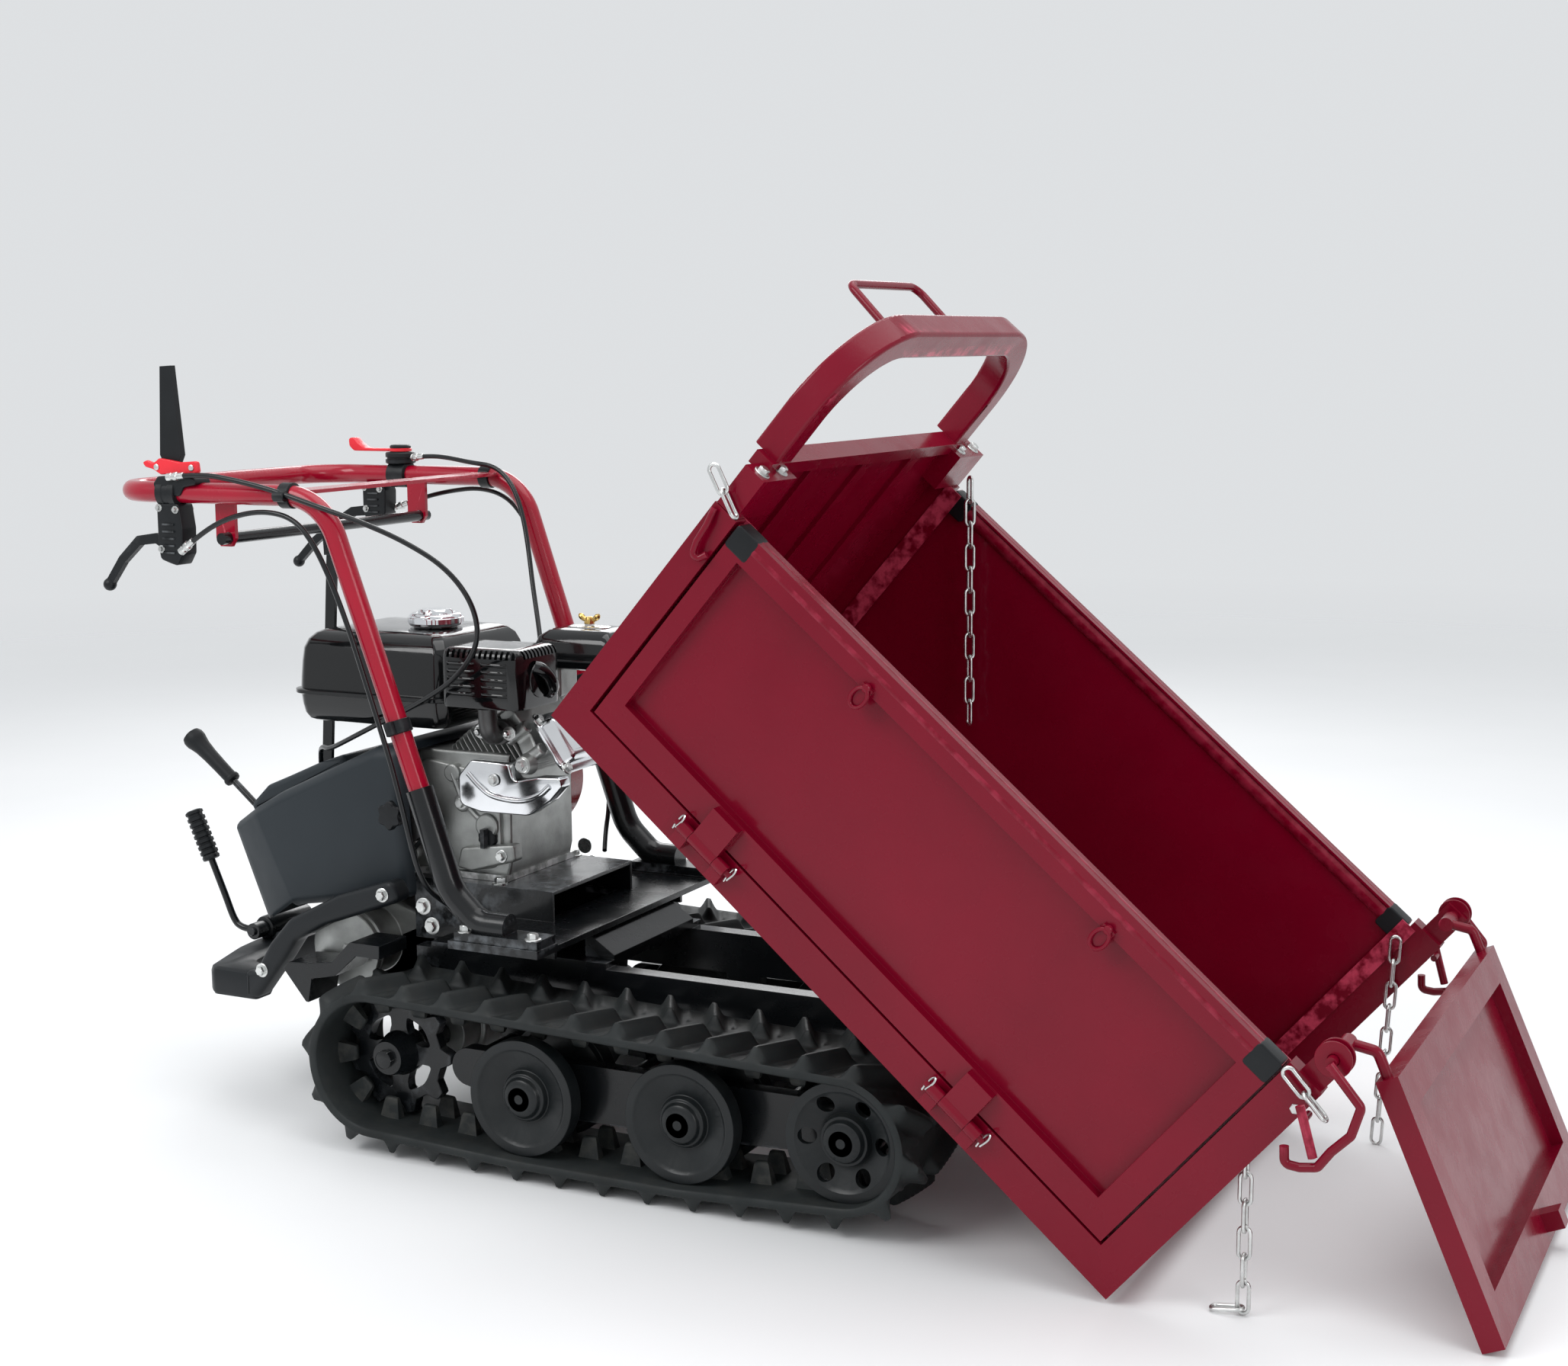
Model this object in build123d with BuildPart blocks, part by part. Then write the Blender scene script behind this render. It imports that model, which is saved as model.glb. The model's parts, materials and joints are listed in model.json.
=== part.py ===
"""Tracked mini dumper, a power wheelbarrow: rubber tracks, petrol engine and a tipping skip.

Millimetres, +Z up, +X towards the skip's front gate, origin on the ground below the
middle of the machine. It stands with the skip tipped and its gate hanging open.
Lengths are laid out from the working datum, and save() brings each piece into the
part's own frame, whose origin lies MID_X further forward.
"""
from build123d import *
import cmath
import math
import os

MID_X = 266.95                  # the part's origin, forward of the working datum

# Skip: its own frame has s forward along the floor, t square to it.
TILT = 40.8                     # nose-down angle of the tipped skip
SKIP_REAR = (114.0, 606.0)      # x, z of the tipped skip's lower rear edge
LOWERED_REAR = (-10.0, 312.0)   # x, z of the same edge with the skip lowered
SKIP_L, SKIP_H, SKIP_W = 920.0, 343.0, 670.0
BEAM_H, BEAM_W, BEAM_T = 42.0, 26.0, 3.0
REAR_POST, FRONT_POST = 35.0, 45.0
PANEL_S0, PANEL_S1 = 40.0, 872.0
PANEL_T0, PANEL_THICK, PANEL_BORDER = 45.0, 25.0, 35.0
PIN_AXIS_Y, PIN_AXIS_T, PIN_R = 345.0, 30.0, 4.0
HINGE_SPANS = ((211.0, 288.0), (625.0, 701.0))
GATE_AXIS = (903.0, 389.0)      # s, t of the gate's hinge
GATE_OPEN = 64.0                # degrees from shut to hanging open
GATE_HALF, GATE_BOTTOM_T, GATE_TOP_T = 291.0, 45.0, 344.0
GATE_S0, GATE_S1 = 919.5, 944.5
CHAIN_Y = 300.0

# Tracks
TRACK_Y, TRACK_W = 228.0, 150.0
BELT_T, LUG_H, LINKS = 11.0, 18.6, 30
BELT_GAP = 0.4
SPROCKET = (-195.0, 122.0, 84.0)
REAR_ROLLER = (25.0, 105.0, 75.0)
FRONT_ROLLER = (252.0, 105.0, 75.0)
IDLER = (470.0, 115.0, 73.0)
AXLE_R, RUNNING = 22.0, 0.05
BEAM_PLATE = 22.0

# Handlebar
BAR_R, BAR_Y, BAR_Z = 14.0, 232.0, 850.0
SLEEVE_R = 18.0
CABLE_R = 3.5

SIDES = (-1, 1)
SIDE_NAMES = {-1: "near", 1: "far"}


def save(part, name):
    """Label a finished piece, bring it into the part's frame and write it."""
    piece = part.moved(Location((-MID_X, 0, 0)))
    piece.label = name
    export_step(piece, f"parts/{name}.step")


def pivot_point():
    """The one point about which turning back by TILT takes the tipped skip to lowered."""
    tipped = complex(*SKIP_REAR)
    lowered = complex(*LOWERED_REAR)
    turn = cmath.rect(1, math.radians(TILT))
    centre = (lowered - tipped * turn) / (1 - turn)
    return centre.real, centre.imag


PIVOT_X, PIVOT_Z = pivot_point()
SKIP_FRAME = Location((SKIP_REAR[0], 0, SKIP_REAR[1]), (0, TILT, 0))
# The pivot in the skip's own frame: it stands as far from the corner as when lowered.
PIVOT_S = PIVOT_X - LOWERED_REAR[0]
PIVOT_T = PIVOT_Z - LOWERED_REAR[1]


def side_view(y, thickness):
    """An upright plane seen from the near side, whose extrusion is centred on y."""
    return Plane.XZ.offset(-(y + thickness / 2))


def slab(outline, y, thickness):
    """A plate with an outline of (x, z) corners, centred on y."""
    with BuildPart() as plate:
        with BuildSketch(Plane.XZ.offset(-(y + thickness / 2))):
            with BuildLine():
                Polyline(*outline, close=True)
            make_face()
        extrude(amount=thickness)
    return plate.part


def block(x0, x1, y0, y1, z0, z1):
    """A plain rectangular block between two corners."""
    with BuildPart() as solid:
        with BuildSketch(Plane.XY.offset(z0)):
            with Locations(((x0 + x1) / 2, (y0 + y1) / 2)):
                Rectangle(x1 - x0, y1 - y0)
        extrude(amount=z1 - z0)
    return solid.part


def rounded_block(x0, x1, y0, y1, z0, z1, radius):
    """A block with all its edges rounded."""
    with BuildPart() as solid:
        add(block(x0, x1, y0, y1, z0, z1))
        fillet(solid.edges(), radius)
    return solid.part


def rod(start, end, radius):
    """A straight round bar from one point to another."""
    length = (Vector(*end) - Vector(*start)).length
    with BuildPart() as bar:
        with BuildSketch(Plane(origin=start, z_dir=Vector(*end) - Vector(*start))):
            Circle(radius)
        extrude(amount=length)
    return bar.part


def cross_rod(x, z, y0, y1, radius):
    """A straight round bar that runs across the machine."""
    return rod((x, y0, z), (x, y1, z), radius)


def bent_rod(points, bend, radius):
    """A round bar of straight runs joined by tangent arcs; bend is one radius or a list."""
    with BuildPart() as bar:
        with BuildLine() as route:
            FilletPolyline(*points, radius=bend)
        with BuildSketch(Plane(origin=route.line @ 0, z_dir=route.line % 0)):
            Circle(radius)
        sweep()
    return bar.part


def fused(*pieces):
    """One piece made of all those given."""
    with BuildPart() as whole:
        for piece in pieces:
            add(piece)
    return whole.part


def cut(piece, *tools):
    """A piece with the tools' volumes taken away."""
    with BuildPart() as rest:
        add(piece)
        for tool in tools:
            add(tool, mode=Mode.SUBTRACT)
    return rest.part


def mirrored(piece):
    """The same piece on the machine's other side."""
    with BuildPart() as other:
        mirror(piece, about=Plane.XZ)
    return other.part


def tipped(piece):
    """A piece made in the skip's own level frame, in the tipped skip's place."""
    return piece.moved(SKIP_FRAME)


# ---------------------------------------------------------------- tracks
WHEELS = (SPROCKET, REAR_ROLLER, FRONT_ROLLER, IDLER)


def belt_loop(plane, grow):
    """The area inside the loop round the wheels, each wheel's radius grown by grow."""
    with BuildSketch(plane) as outline:
        for x, z, radius in WHEELS:
            with Locations((x, z)):
                Circle(radius + BELT_GAP + grow)
        make_hull(outline.edges())
    return outline.sketch


def belt_core(grow):
    """A solid block the shape of the belt's loop, grown by grow and as wide as the belt."""
    with BuildPart() as core:
        with BuildSketch(side_view(TRACK_Y, TRACK_W)) as outline:
            for x, z, radius in WHEELS:
                with Locations((x, z)):
                    Circle(radius + BELT_GAP + grow)
            make_hull(outline.edges())
        extrude(amount=TRACK_W)
    return core.part


def lug_planes(grow, shift):
    """Planes spaced evenly on the loop, x along it and z outwards."""
    loop = belt_loop(Plane.XZ, grow).faces()[0].outer_wire()
    middle = Vector((SPROCKET[0] + IDLER[0]) / 2, 0, IDLER[1])
    planes = []
    for link in range(LINKS):
        at = (link + shift) / LINKS
        point = loop.position_at(at)
        tangent = loop.tangent_at(at)
        outward = tangent.cross(Vector(0, 1, 0))
        if outward.dot(point - middle) < 0:
            outward = -outward
        # Forward on the ground is backward on the top run, so each lug's x follows the loop.
        ahead = Vector(0, 1, 0).cross(outward)
        planes.append(Plane(origin=point + Vector(0, TRACK_Y, 0), x_dir=ahead, z_dir=outward))
    return planes


def rubber_track():
    """The far belt with chevron lugs outside and two rows of guide lugs inside."""
    bury = 6.0
    with BuildPart() as track:
        add(belt_core(BELT_T))
        add(belt_core(0), mode=Mode.SUBTRACT)
        for plane in lug_planes(BELT_T, 0.0):
            with BuildSketch(plane.offset(-bury)):
                for side in SIDES:
                    with BuildLine():
                        Polyline((-26, 70 * side), (-6, 70 * side), (25, 14 * side),
                                 (5, 14 * side), close=True)
                    make_face()
        extrude(amount=LUG_H + bury)
        for plane in lug_planes(0.0, 0.5):
            with BuildSketch(Plane(origin=plane.origin + plane.z_dir * bury,
                                   x_dir=plane.x_dir, z_dir=-plane.z_dir)):
                with Locations((0, -20), (0, 20)):
                    Rectangle(30, 14)
        extrude(amount=28 + bury, taper=10)
        # The lugs' tips follow the loop, so that they all end level on the ground.
        add(belt_core(BELT_T + LUG_H), mode=Mode.INTERSECT)
    return track.part


def wheel_profile_plane(x, z):
    """A plane through a wheel's axle: local x along +Y from the track's middle, local y up."""
    return Plane(origin=(x, TRACK_Y, z), x_dir=(0, 1, 0), z_dir=(1, 0, 0))


def wheel_axis(x, z):
    return Axis((x, TRACK_Y, z), (0, 1, 0))


def roller_solid(x, z, radius, windows=0):
    """Two dished discs on one hub, with a hub cap on the outer end."""
    hub = AXLE_R
    disc = ((34, hub), (34, 33), (48, radius - 14), (34, radius - 9), (34, radius),
            (58, radius), (58, radius - 11), (54, radius - 16), (44, 33), (52, 30), (52, hub))
    with BuildPart() as wheel:
        with BuildSketch(wheel_profile_plane(x, z)):
            Rectangle(104, hub, align=(Align.CENTER, Align.MIN))
            for side in SIDES:
                with BuildLine():
                    Polyline(*((side * v, r) for v, r in disc), close=True)
                make_face()
            with BuildLine():
                Polyline((52, 0), (52, 27), (58, 24), (62, 16), (62, 0), close=True)
            make_face()
        revolve(axis=wheel_axis(x, z))
        if windows:
            with BuildSketch(side_view(TRACK_Y, 140).shift_origin((x, TRACK_Y + 70, z))):
                with PolarLocations(radius * 0.66, windows):
                    Circle(radius * 0.145)
            extrude(amount=140, mode=Mode.SUBTRACT)
    return wheel.part


def sprocket():
    """A spoked casting whose teeth run between the guide lugs, on its drive shaft."""
    x, z, _ = SPROCKET
    teeth, tip, root, rim = 9, 81.5, 66.0, 54.0
    with BuildPart() as casting:
        with BuildSketch(Plane(origin=(x, TRACK_Y + 8, z), x_dir=(1, 0, 0), z_dir=(0, -1, 0))):
            Circle(root)
            with PolarLocations((root - 4 + tip) / 2, teeth):
                Rectangle(tip - root + 4, 16)
            Circle(rim, mode=Mode.SUBTRACT)
            with PolarLocations(40, 4, start_angle=45):
                Rectangle(36, 18)
            Circle(30)
        extrude(amount=16)
    with BuildPart() as hub:
        with BuildSketch(wheel_profile_plane(x, z)):
            with BuildLine():
                Polyline((-87, 0), (-87, 16), (-24, 16), (-18, 30), (18, 30), (30, 24), (36, 22),
                         (36, 12), (46, 12), (46, 0), close=True)
            make_face()
        revolve(axis=wheel_axis(x, z))
    return fused(casting.part, hub.part)


def track_beam():
    """The plate between the wheel discs that carries the rollers and the idler."""
    with BuildPart() as beam:
        with BuildSketch(side_view(TRACK_Y, BEAM_PLATE)) as outline:
            for x, z, radius in ((-84, 118, 25), (25, 105, 34), (252, 105, 34), (470, 115, 32)):
                with Locations((x, z)):
                    Circle(radius)
            make_hull(outline.edges())
            with Locations((25, 105), (252, 105), (470, 115)):
                Circle(AXLE_R + RUNNING, mode=Mode.SUBTRACT)
        extrude(amount=BEAM_PLATE)
    return beam.part


# ---------------------------------------------------------------- chassis
CROSS_TUBES = ((-84.0, 118.0), (138.0, 118.0), (362.0, 118.0))
RAIL_IN, RAIL_OUT = 105.0, 130.0
PLATFORM_Z = 245.0
BASE_Z = 325.0


def main_frame():
    """Rails, cross tubes, platform, engine base, pivot brackets and handlebar feet."""
    beam_face = TRACK_Y - BEAM_PLATE / 2
    pieces = [cross_rod(x, z, -beam_face, beam_face, 15) for x, z in CROSS_TUBES]
    for side in SIDES:
        y = side * (RAIL_IN + RAIL_OUT) / 2
        width = RAIL_OUT - RAIL_IN
        pieces.append(slab([(-238, 180), (480, 180), (480, 228), (440, 237), (-238, 237)], y, width))
        for x, z in CROSS_TUBES:
            pieces.append(slab([(x - 26, 182), (x - 18, z - 18), (x + 18, z - 18), (x + 26, 182)],
                               y, width))
        pieces.append(slab([(385, 230), (PIVOT_X - 20, PIVOT_Z + 15.5),
                            (PIVOT_X + 3, PIVOT_Z + 15.5), (PIVOT_X + 17, PIVOT_Z + 2),
                            (470, 230)], y, width))
        pieces.append(block(-103, 32, side * 225 - 25, side * 225 + 25, 283, 287))
    pieces.append(block(-214, 60, -RAIL_OUT, RAIL_OUT, 237, PLATFORM_Z))
    pieces.append(block(-103, 32, -250, 250, 276, 284))
    pieces.append(slab([(16, 245), (60, 245), (60, 251), (22, 276), (16, 276)], 0, 216))
    for side in SIDES:
        pieces.append(slab([(-256, 241), (-35, 241), (-35, 323), (-256, 323)], side * 102.5, 5))
    pieces.append(block(-256, -35, -105, 105, 320, BASE_Z))
    frame = fused(*pieces)
    shaft_hole = cross_rod(PIVOT_X, PIVOT_Z, -200, 200, 12 + RUNNING)
    window = block(-240, -51, -90, 90, 230, 300)
    return cut(frame, shaft_hole, window)


def pivot_shaft():
    """The shaft that the skip tips about, with a head on each end."""
    return fused(
        cross_rod(PIVOT_X, PIVOT_Z, -150, 150, 12),
        cross_rod(PIVOT_X, PIVOT_Z, -150, -145, 16),
        cross_rod(PIVOT_X, PIVOT_Z, 145, 150, 16),
    )


def gearbox():
    """Input housing behind the engine and an output housing on the sprockets' shafts."""
    x, z, _ = SPROCKET
    with BuildPart() as housing:
        with BuildSketch(side_view(0, 200)) as outline:
            for cx, cz, radius in ((-330, 235, 62), (-278, 228, 52), (x, z, 46)):
                with Locations((cx, cz)):
                    Circle(radius)
            make_hull(outline.edges())
        extrude(amount=200)
        fillet(housing.edges().filter_by(GeomType.LINE, reverse=True), 6)
    bosses = [cross_rod(-329, 230, side * 95, side * 156, 46) for side in SIDES]
    caps = [cross_rod(-329, 230, side * 156, side * 166, 54) for side in SIDES]
    ends = [cross_rod(x, z, side * 95, side * 140, 38) for side in SIDES]
    return fused(housing.part, *bosses, *caps, *ends)


def mud_plates():
    """Bent plates that keep the tracks' throw off the gearbox and the socket feet."""
    outline = [(-381, 214), (-345, 172), (-340, 172), (-334, 205), (-294, 214), (-260, 244),
               (-222, 244), (-222, 262), (-270, 262), (-300, 232), (-340, 226), (-372, 224)]
    return fused(*(slab(outline, side * 205, 62) for side in SIDES))


def rear_cover():
    """Moulded cover over the drive, open below and in front, with a raised lever console."""
    outer = [(-554, 375), (-507, 403), (-452, 436), (-289, 510), (-233, 523), (-230, 305),
             (-425, 276), (-498, 234)]
    inner = [(-549, 373), (-504, 399), (-450, 431.5), (-288, 505.5), (-220, 521.5), (-220, 290),
             (-425, 262), (-490, 220), (-494, 235)]
    console = [(-553, 374), (-566, 384), (-540, 412), (-505, 434), (-452, 458), (-400, 474),
               (-396, 455)]
    shell = cut(fused(slab(outer, 0, 300), slab(console, 0, 120)), slab(inner, 0, 292))
    lever_slot = block(-580, -505, -47, -33, 325, 460)
    link_slot = block(-500, -455, -14, 8, 395, 480)
    cable_hole = block(-478, -440, -44, -26, 400, 470)
    return cut(shell, lever_slot, link_slot, cable_hole)


GEAR_PIVOT = (-486.0, 312.0)    # x, z of the gear lever's hinge
TIP_PIVOT = (-566.0, 206.0)     # x, z of the second lever's hinge


def bumper():
    """Bent arms on each side and the broad rear foot that joins them."""
    arm = [(-225, 343), (-314, 314), (-397, 272), (-432, 234), (-459, 190), (-473, 190),
           (-473, 152), (-456, 152), (-408, 213), (-386, 243), (-336, 270), (-211, 315)]
    arms = [slab(arm, side * 186, 34) for side in SIDES]
    with BuildPart() as foot:
        with BuildSketch(Plane.XY.offset(150)):
            with BuildLine():
                Polyline((-460, -202), (-532, -202), (-545, -190), (-575, -100), (-580, -58))
                Line((-580, -58), (-580, 58))
                Polyline((-580, 58), (-575, 100), (-545, 190), (-532, 202), (-460, 202))
                Polyline((-460, 202), (-460, 168), (-505, 140), (-520, 60), (-520, -60),
                         (-505, -140), (-460, -168), (-460, -202))
            make_face()
        extrude(amount=40)
        fillet(foot.edges().group_by(Axis.Z)[-1], 5)
    tube = fused(cross_rod(*TIP_PIVOT, -48, 48, 17), cross_rod(*TIP_PIVOT, -76, -40, 6))
    bracket = block(-575, -545, -40, 40, 188, 200)
    return fused(*arms, foot.part, tube, bracket)


# ---------------------------------------------------------------- engine
CRANK_X, CRANK_Z = -212.0, 434.0


def engine_block():
    with BuildPart() as case:
        with BuildSketch(side_view(5, 160)):
            with BuildLine():
                Polyline((-306, 345), (-292, BASE_Z), (-124, BASE_Z), (-118, 350), (-118, 499),
                         (-262, 499), (-306, 455), close=True)
            make_face()
        extrude(amount=160)
        fillet(case.edges().group_by(Axis.Y)[0] + case.edges().group_by(Axis.Y)[-1], 5)
    shaft = cross_rod(CRANK_X - 46, CRANK_Z - 20, -88, -74, 26)
    return fused(case.part, shaft)


def cylinder():
    """Finned barrel and head between the crankcase and the valve cover."""
    core = block(-117.5, -60, -52, 42, 441, 552)
    fins = [block(-117.5, -62, -70, 60, z, z + 3.5) for z in range(442, 552, 9)]
    head = block(-185, -114, -62, 55, 500, 545)
    top_fins = [block(x, x + 3.5, -70, 60, 504, 554) for x in range(-183, -118, 9)]
    return fused(core, *fins, head, *top_fins)


def valve_cover():
    with BuildPart() as cover:
        add(block(-59.5, -50, -62, 52, 462, 556))
        with BuildSketch(Plane.YZ.offset(-51)):
            with Locations((-5, 509)):
                RectangleRounded(96, 78, 12)
        extrude(amount=32, taper=8)
        fillet(cover.faces().sort_by(Axis.X)[-1].edges(), 6)
    return cover.part


def engine_shroud():
    """Curved plate on the near side of the block that steers the cooling air."""
    outline = [(-186, 425), (-150, 419), (-70, 421), (-53, 440), (-53, 480), (-90, 489),
               (-160, 486), (-186, 470)]
    return slab(outline, -86, 20)


def exhaust_pipe():
    flange = block(-160, -100, -86, -75.5, 506, 548)
    pipe = bent_rod([(-130, -80, 527), (-130, -108, 527), (-130, -108, 566)], 16, 13)
    return fused(flange, pipe)


def muffler_guard():
    """Louvred sheet round the muffler."""
    shell = rounded_block(-190, -66, -128, -24, 567, 647, 10)
    hollow = block(-186, -70, -124, -28, 571, 643)
    slots = [block(-176 + 14 * i, -169 + 14 * i, -130, -120, 584, 632) for i in range(8)]
    pipe_hole = rod((-130, -108, 560), (-130, -108, 575), 14)
    return cut(shell, hollow, pipe_hole, *slots)


def muffler():
    return rounded_block(-182, -74, -118, -34, 575, 639, 14)


def air_cleaner():
    base = rounded_block(-158, -24, 40, 150, 600, 612, 3)
    lid = rounded_block(-154, -28, 44, 146, 611, 654, 12)
    return fused(base, lid)


def fuel_tank():
    """Upper and lower pressings joined at a flange, with a filler neck."""
    lower = rounded_block(-448, -198, -106, 112, 527, 572, 14)
    upper = rounded_block(-448, -198, -106, 112, 566, 655, 26)
    with BuildPart() as seam:
        with BuildSketch(Plane.XY.offset(568)):
            with Locations((-323, 3)):
                RectangleRounded(264, 230, 24)
        extrude(amount=5)
    neck = rod((-282, 0, 650), (-282, 0, 658), 30)
    return fused(lower, upper, seam.part, neck)


def fuel_cap():
    with BuildPart() as cap:
        with BuildSketch(Plane.XY.offset(658.4)):
            with Locations((-282, 0)):
                Circle(39)
        extrude(amount=17, taper=6)
        with BuildSketch(Plane.XY.offset(675)):
            with Locations((-282, 0)):
                Rectangle(60, 14)
        extrude(amount=6)
        fillet(cap.edges().group_by(Axis.Z)[-1], 2)
    return cap.part


def recoil_housing():
    """Round starter housing with a cooling grille of slots."""
    with BuildPart() as housing:
        add(cross_rod(CRANK_X, CRANK_Z, 86, 138, 84))
        fillet(housing.edges().group_by(Axis.Y)[-1], 10)
    slots = []
    for turn in range(10):
        angle = math.radians(36 * turn)
        x = CRANK_X + 58 * math.cos(angle)
        z = CRANK_Z + 58 * math.sin(angle)
        slots.append(cross_rod(x, z, 130, 140, 9))
    return cut(housing.part, *slots)


def starter_grip():
    """T-shaped pull handle parked on the starter housing's upper front."""
    grip = rounded_block(-152, -112, 150, 168, 498, 514, 7)
    stem = cross_rod(-132, 506, 139.5, 152, 5)
    return fused(grip, stem)


def carburettor():
    body = rounded_block(-176, -120.5, 62, 110, 556, 599, 5)
    bowl = rod((-148, 86, 540), (-148, 86, 560), 18)
    return fused(body, bowl)


def oil_plugs():
    """Dipstick caps at both ends of the crankcase and the drain plug."""
    dipstick = cross_rod(-149, 384, -96, -75.5, 15)
    filler = cross_rod(-285, 372, -92, -75.5, 13)
    return fused(dipstick, filler)


def engine_fasteners():
    """Base bolts, exhaust nuts and the air cleaner's wing nut, all separate."""
    nuts = []
    for x in (-290, -126):
        for y in (-92, 100):
            nuts.append(rod((x, y, BASE_Z), (x, y, BASE_Z + 9), 8))
    for x in (-152, -108):
        nuts.append(cross_rod(x, 527, -97, -86, 7))
    nuts.append(fused(rod((-91, 95, 654), (-91, 95, 664), 8), block(-111, -71, 92.5, 97.5, 658, 672)))
    return fused(*nuts)


# ---------------------------------------------------------------- drive inside the cover
ENGINE_PULLEY = (CRANK_X - 46, CRANK_Z - 20, 34.0)
GEARBOX_PULLEY = (-362.0, 330.0, 46.0)
BELT_Y = -118.0


def pulley(centre, shaft_end):
    """A vee pulley on the machine's near side with its stub shaft."""
    x, z, radius = centre
    with BuildPart() as wheel:
        with BuildSketch(Plane(origin=(x, BELT_Y, z), x_dir=(0, 1, 0), z_dir=(1, 0, 0))):
            with BuildLine():
                Polyline((-9, 0), (-9, radius + 5), (-7, radius + 5), (-3, radius - 5),
                         (3, radius - 5), (7, radius + 5), (9, radius + 5), (9, 12),
                         (shaft_end, 12), (shaft_end, 0), close=True)
            make_face()
        revolve(axis=Axis((x, BELT_Y, z), (0, 1, 0)))
    return wheel.part


def drive_belt():
    """The vee belt round both pulleys, riding just clear of their grooves."""
    with BuildPart() as belt:
        for grow, mode in ((10.0, Mode.ADD), (5.6, Mode.SUBTRACT)):
            with BuildSketch(side_view(BELT_Y, 8)) as outline:
                for x, z, radius in (ENGINE_PULLEY, GEARBOX_PULLEY):
                    with Locations((x, z)):
                        Circle(radius + grow)
                make_hull(outline.edges())
            extrude(amount=8, mode=mode)
    return belt.part


def linkage_rod():
    """Cross shaft in bent tabs under the socket feet, with its short arms."""
    rod_x, rod_z = -22.0, 262.0
    shaft = cross_rod(rod_x, rod_z, -175, 175, 6)
    arms = [block(rod_x - 7, rod_x + 30, side * 168 - 3, side * 168 + 3, rod_z - 7, rod_z + 7)
            for side in SIDES]
    return fused(shaft, *arms)


# ---------------------------------------------------------------- handlebar and controls
def handlebar():
    """The push loop with the flat cross plate near its bends."""
    # From the far foot round the rear of the loop to the near foot.
    points = [(-158, 225, 476), (-290, BAR_Y, BAR_Z), (-645, BAR_Y, BAR_Z),
              (-645, -BAR_Y, BAR_Z), (-290, -BAR_Y, BAR_Z), (-158, -225, 476)]
    loop = bent_rod(points, [80, 70, 70, 80], BAR_R)
    plate = block(-358, -318, -(BAR_Y - 8), BAR_Y - 8, BAR_Z + 2, BAR_Z + 7)
    lugs = [slab([(-477, 846), (-445, 846), (-445, 790), (-452, 779), (-470, 779), (-477, 790)],
                 side * 217, 6) for side in SIDES]
    brace_holes = cross_rod(-457, 790, -240, 240, 8 + 0.3)
    return cut(fused(loop, plate, *lugs), brace_holes)


def handlebar_sockets():
    """Black sleeves that take the handlebar's ends and lie down onto the feet."""
    sleeves = []
    for side in SIDES:
        y = side * 225
        sleeves.append(bent_rod([(-157.7, y, 475.6), (-112, y, 345), (-70, y, 306), (-24, y, 306)],
                                [70, 40], SLEEVE_R))
        sleeves.append(block(-95, 30, y - 22, y + 22, 287.2, 298))
    return fused(*sleeves)


def lever_clamps():
    """Clamps on the handlebar with the steering levers' housings hung below."""
    clamps = []
    for side, x, z in ((-1, -537, 773), (1, -545, 796)):
        y = side * BAR_Y
        ring = rod((x - 15, y, BAR_Z), (x + 15, y, BAR_Z), 21)
        web = block(x - 12, x + 12, y - 10, y + 10, z + 8, BAR_Z - 12)
        body = rounded_block(x - 17, x + 25, y - 16, y + 16, z - 16, z + 24, 6)
        slot = block(x - 40, x + 10, y - 7, y + 7, z - 20, z + 26)
        clamps.append(cut(fused(ring, web, body), slot))
    clamps[0] = fused(clamps[0], slab([(-520, 896), (-500, 887), (-497, 876), (-522, 862), (-550, 862),
                                       (-556, 880), (-548, 896)], -BAR_Y + 10.5, 10))
    bar = rod((-620, -BAR_Y, BAR_Z), (-450, -BAR_Y, BAR_Z), BAR_R)
    far_bar = rod((-620, BAR_Y, BAR_Z), (-450, BAR_Y, BAR_Z), BAR_R)
    return cut(fused(*clamps), bar, far_bar)


def throttle_housing():
    drum = rod((-500, BAR_Y, 866), (-500, BAR_Y, 884), 23)
    saddle = rod((-516, BAR_Y, BAR_Z), (-484, BAR_Y, BAR_Z), 20)
    return cut(fused(drum, saddle), rod((-530, BAR_Y, BAR_Z), (-470, BAR_Y, BAR_Z), BAR_R))


def throttle_lever():
    """Thumb lever that turns on top of the throttle's drum."""
    hub = rod((-500, BAR_Y, 884.4), (-500, BAR_Y, 890), 17)
    arm = block(-578, -500, BAR_Y - 5, BAR_Y + 5, 885, 889)
    tip = rounded_block(-590, -566, BAR_Y - 9, BAR_Y + 9, 880, 892, 4)
    return fused(hub, arm, tip)


def lever_blade(points, y, thickness):
    """A flat lever whose runs join (x, z, half width) points, round at each."""
    with BuildPart() as blade:
        for start, end in zip(points, points[1:]):
            with BuildSketch(side_view(y, thickness)) as run:
                for x, z, half in (start, end):
                    with Locations((x, z)):
                        Circle(half)
                make_hull(run.edges())
        extrude(amount=thickness)
    return blade.part


def steering_lever(side):
    """Bent lever with a ball end that hinges in its housing under the handlebar."""
    y = side * BAR_Y
    if side < 0:
        points = [(-537, 773, 8), (-566, 788, 7), (-597, 784, 6.5), (-628, 757, 6), (-655, 722, 5.5)]
    else:
        points = [(-545, 796, 8), (-590, 792, 7), (-630, 769, 6.5), (-664, 745, 6), (-698, 712, 5.5)]
    end_x, end_z, _ = points[-1]
    with BuildPart() as ball:
        with Locations((end_x, y, end_z)):
            Sphere(9, rotation=(90, 0, 0))
    hub = cross_rod(points[0][0], points[0][1], y - 6, y + 6, 9)
    return fused(lever_blade(points, y, 9), ball.part, hub)


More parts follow.
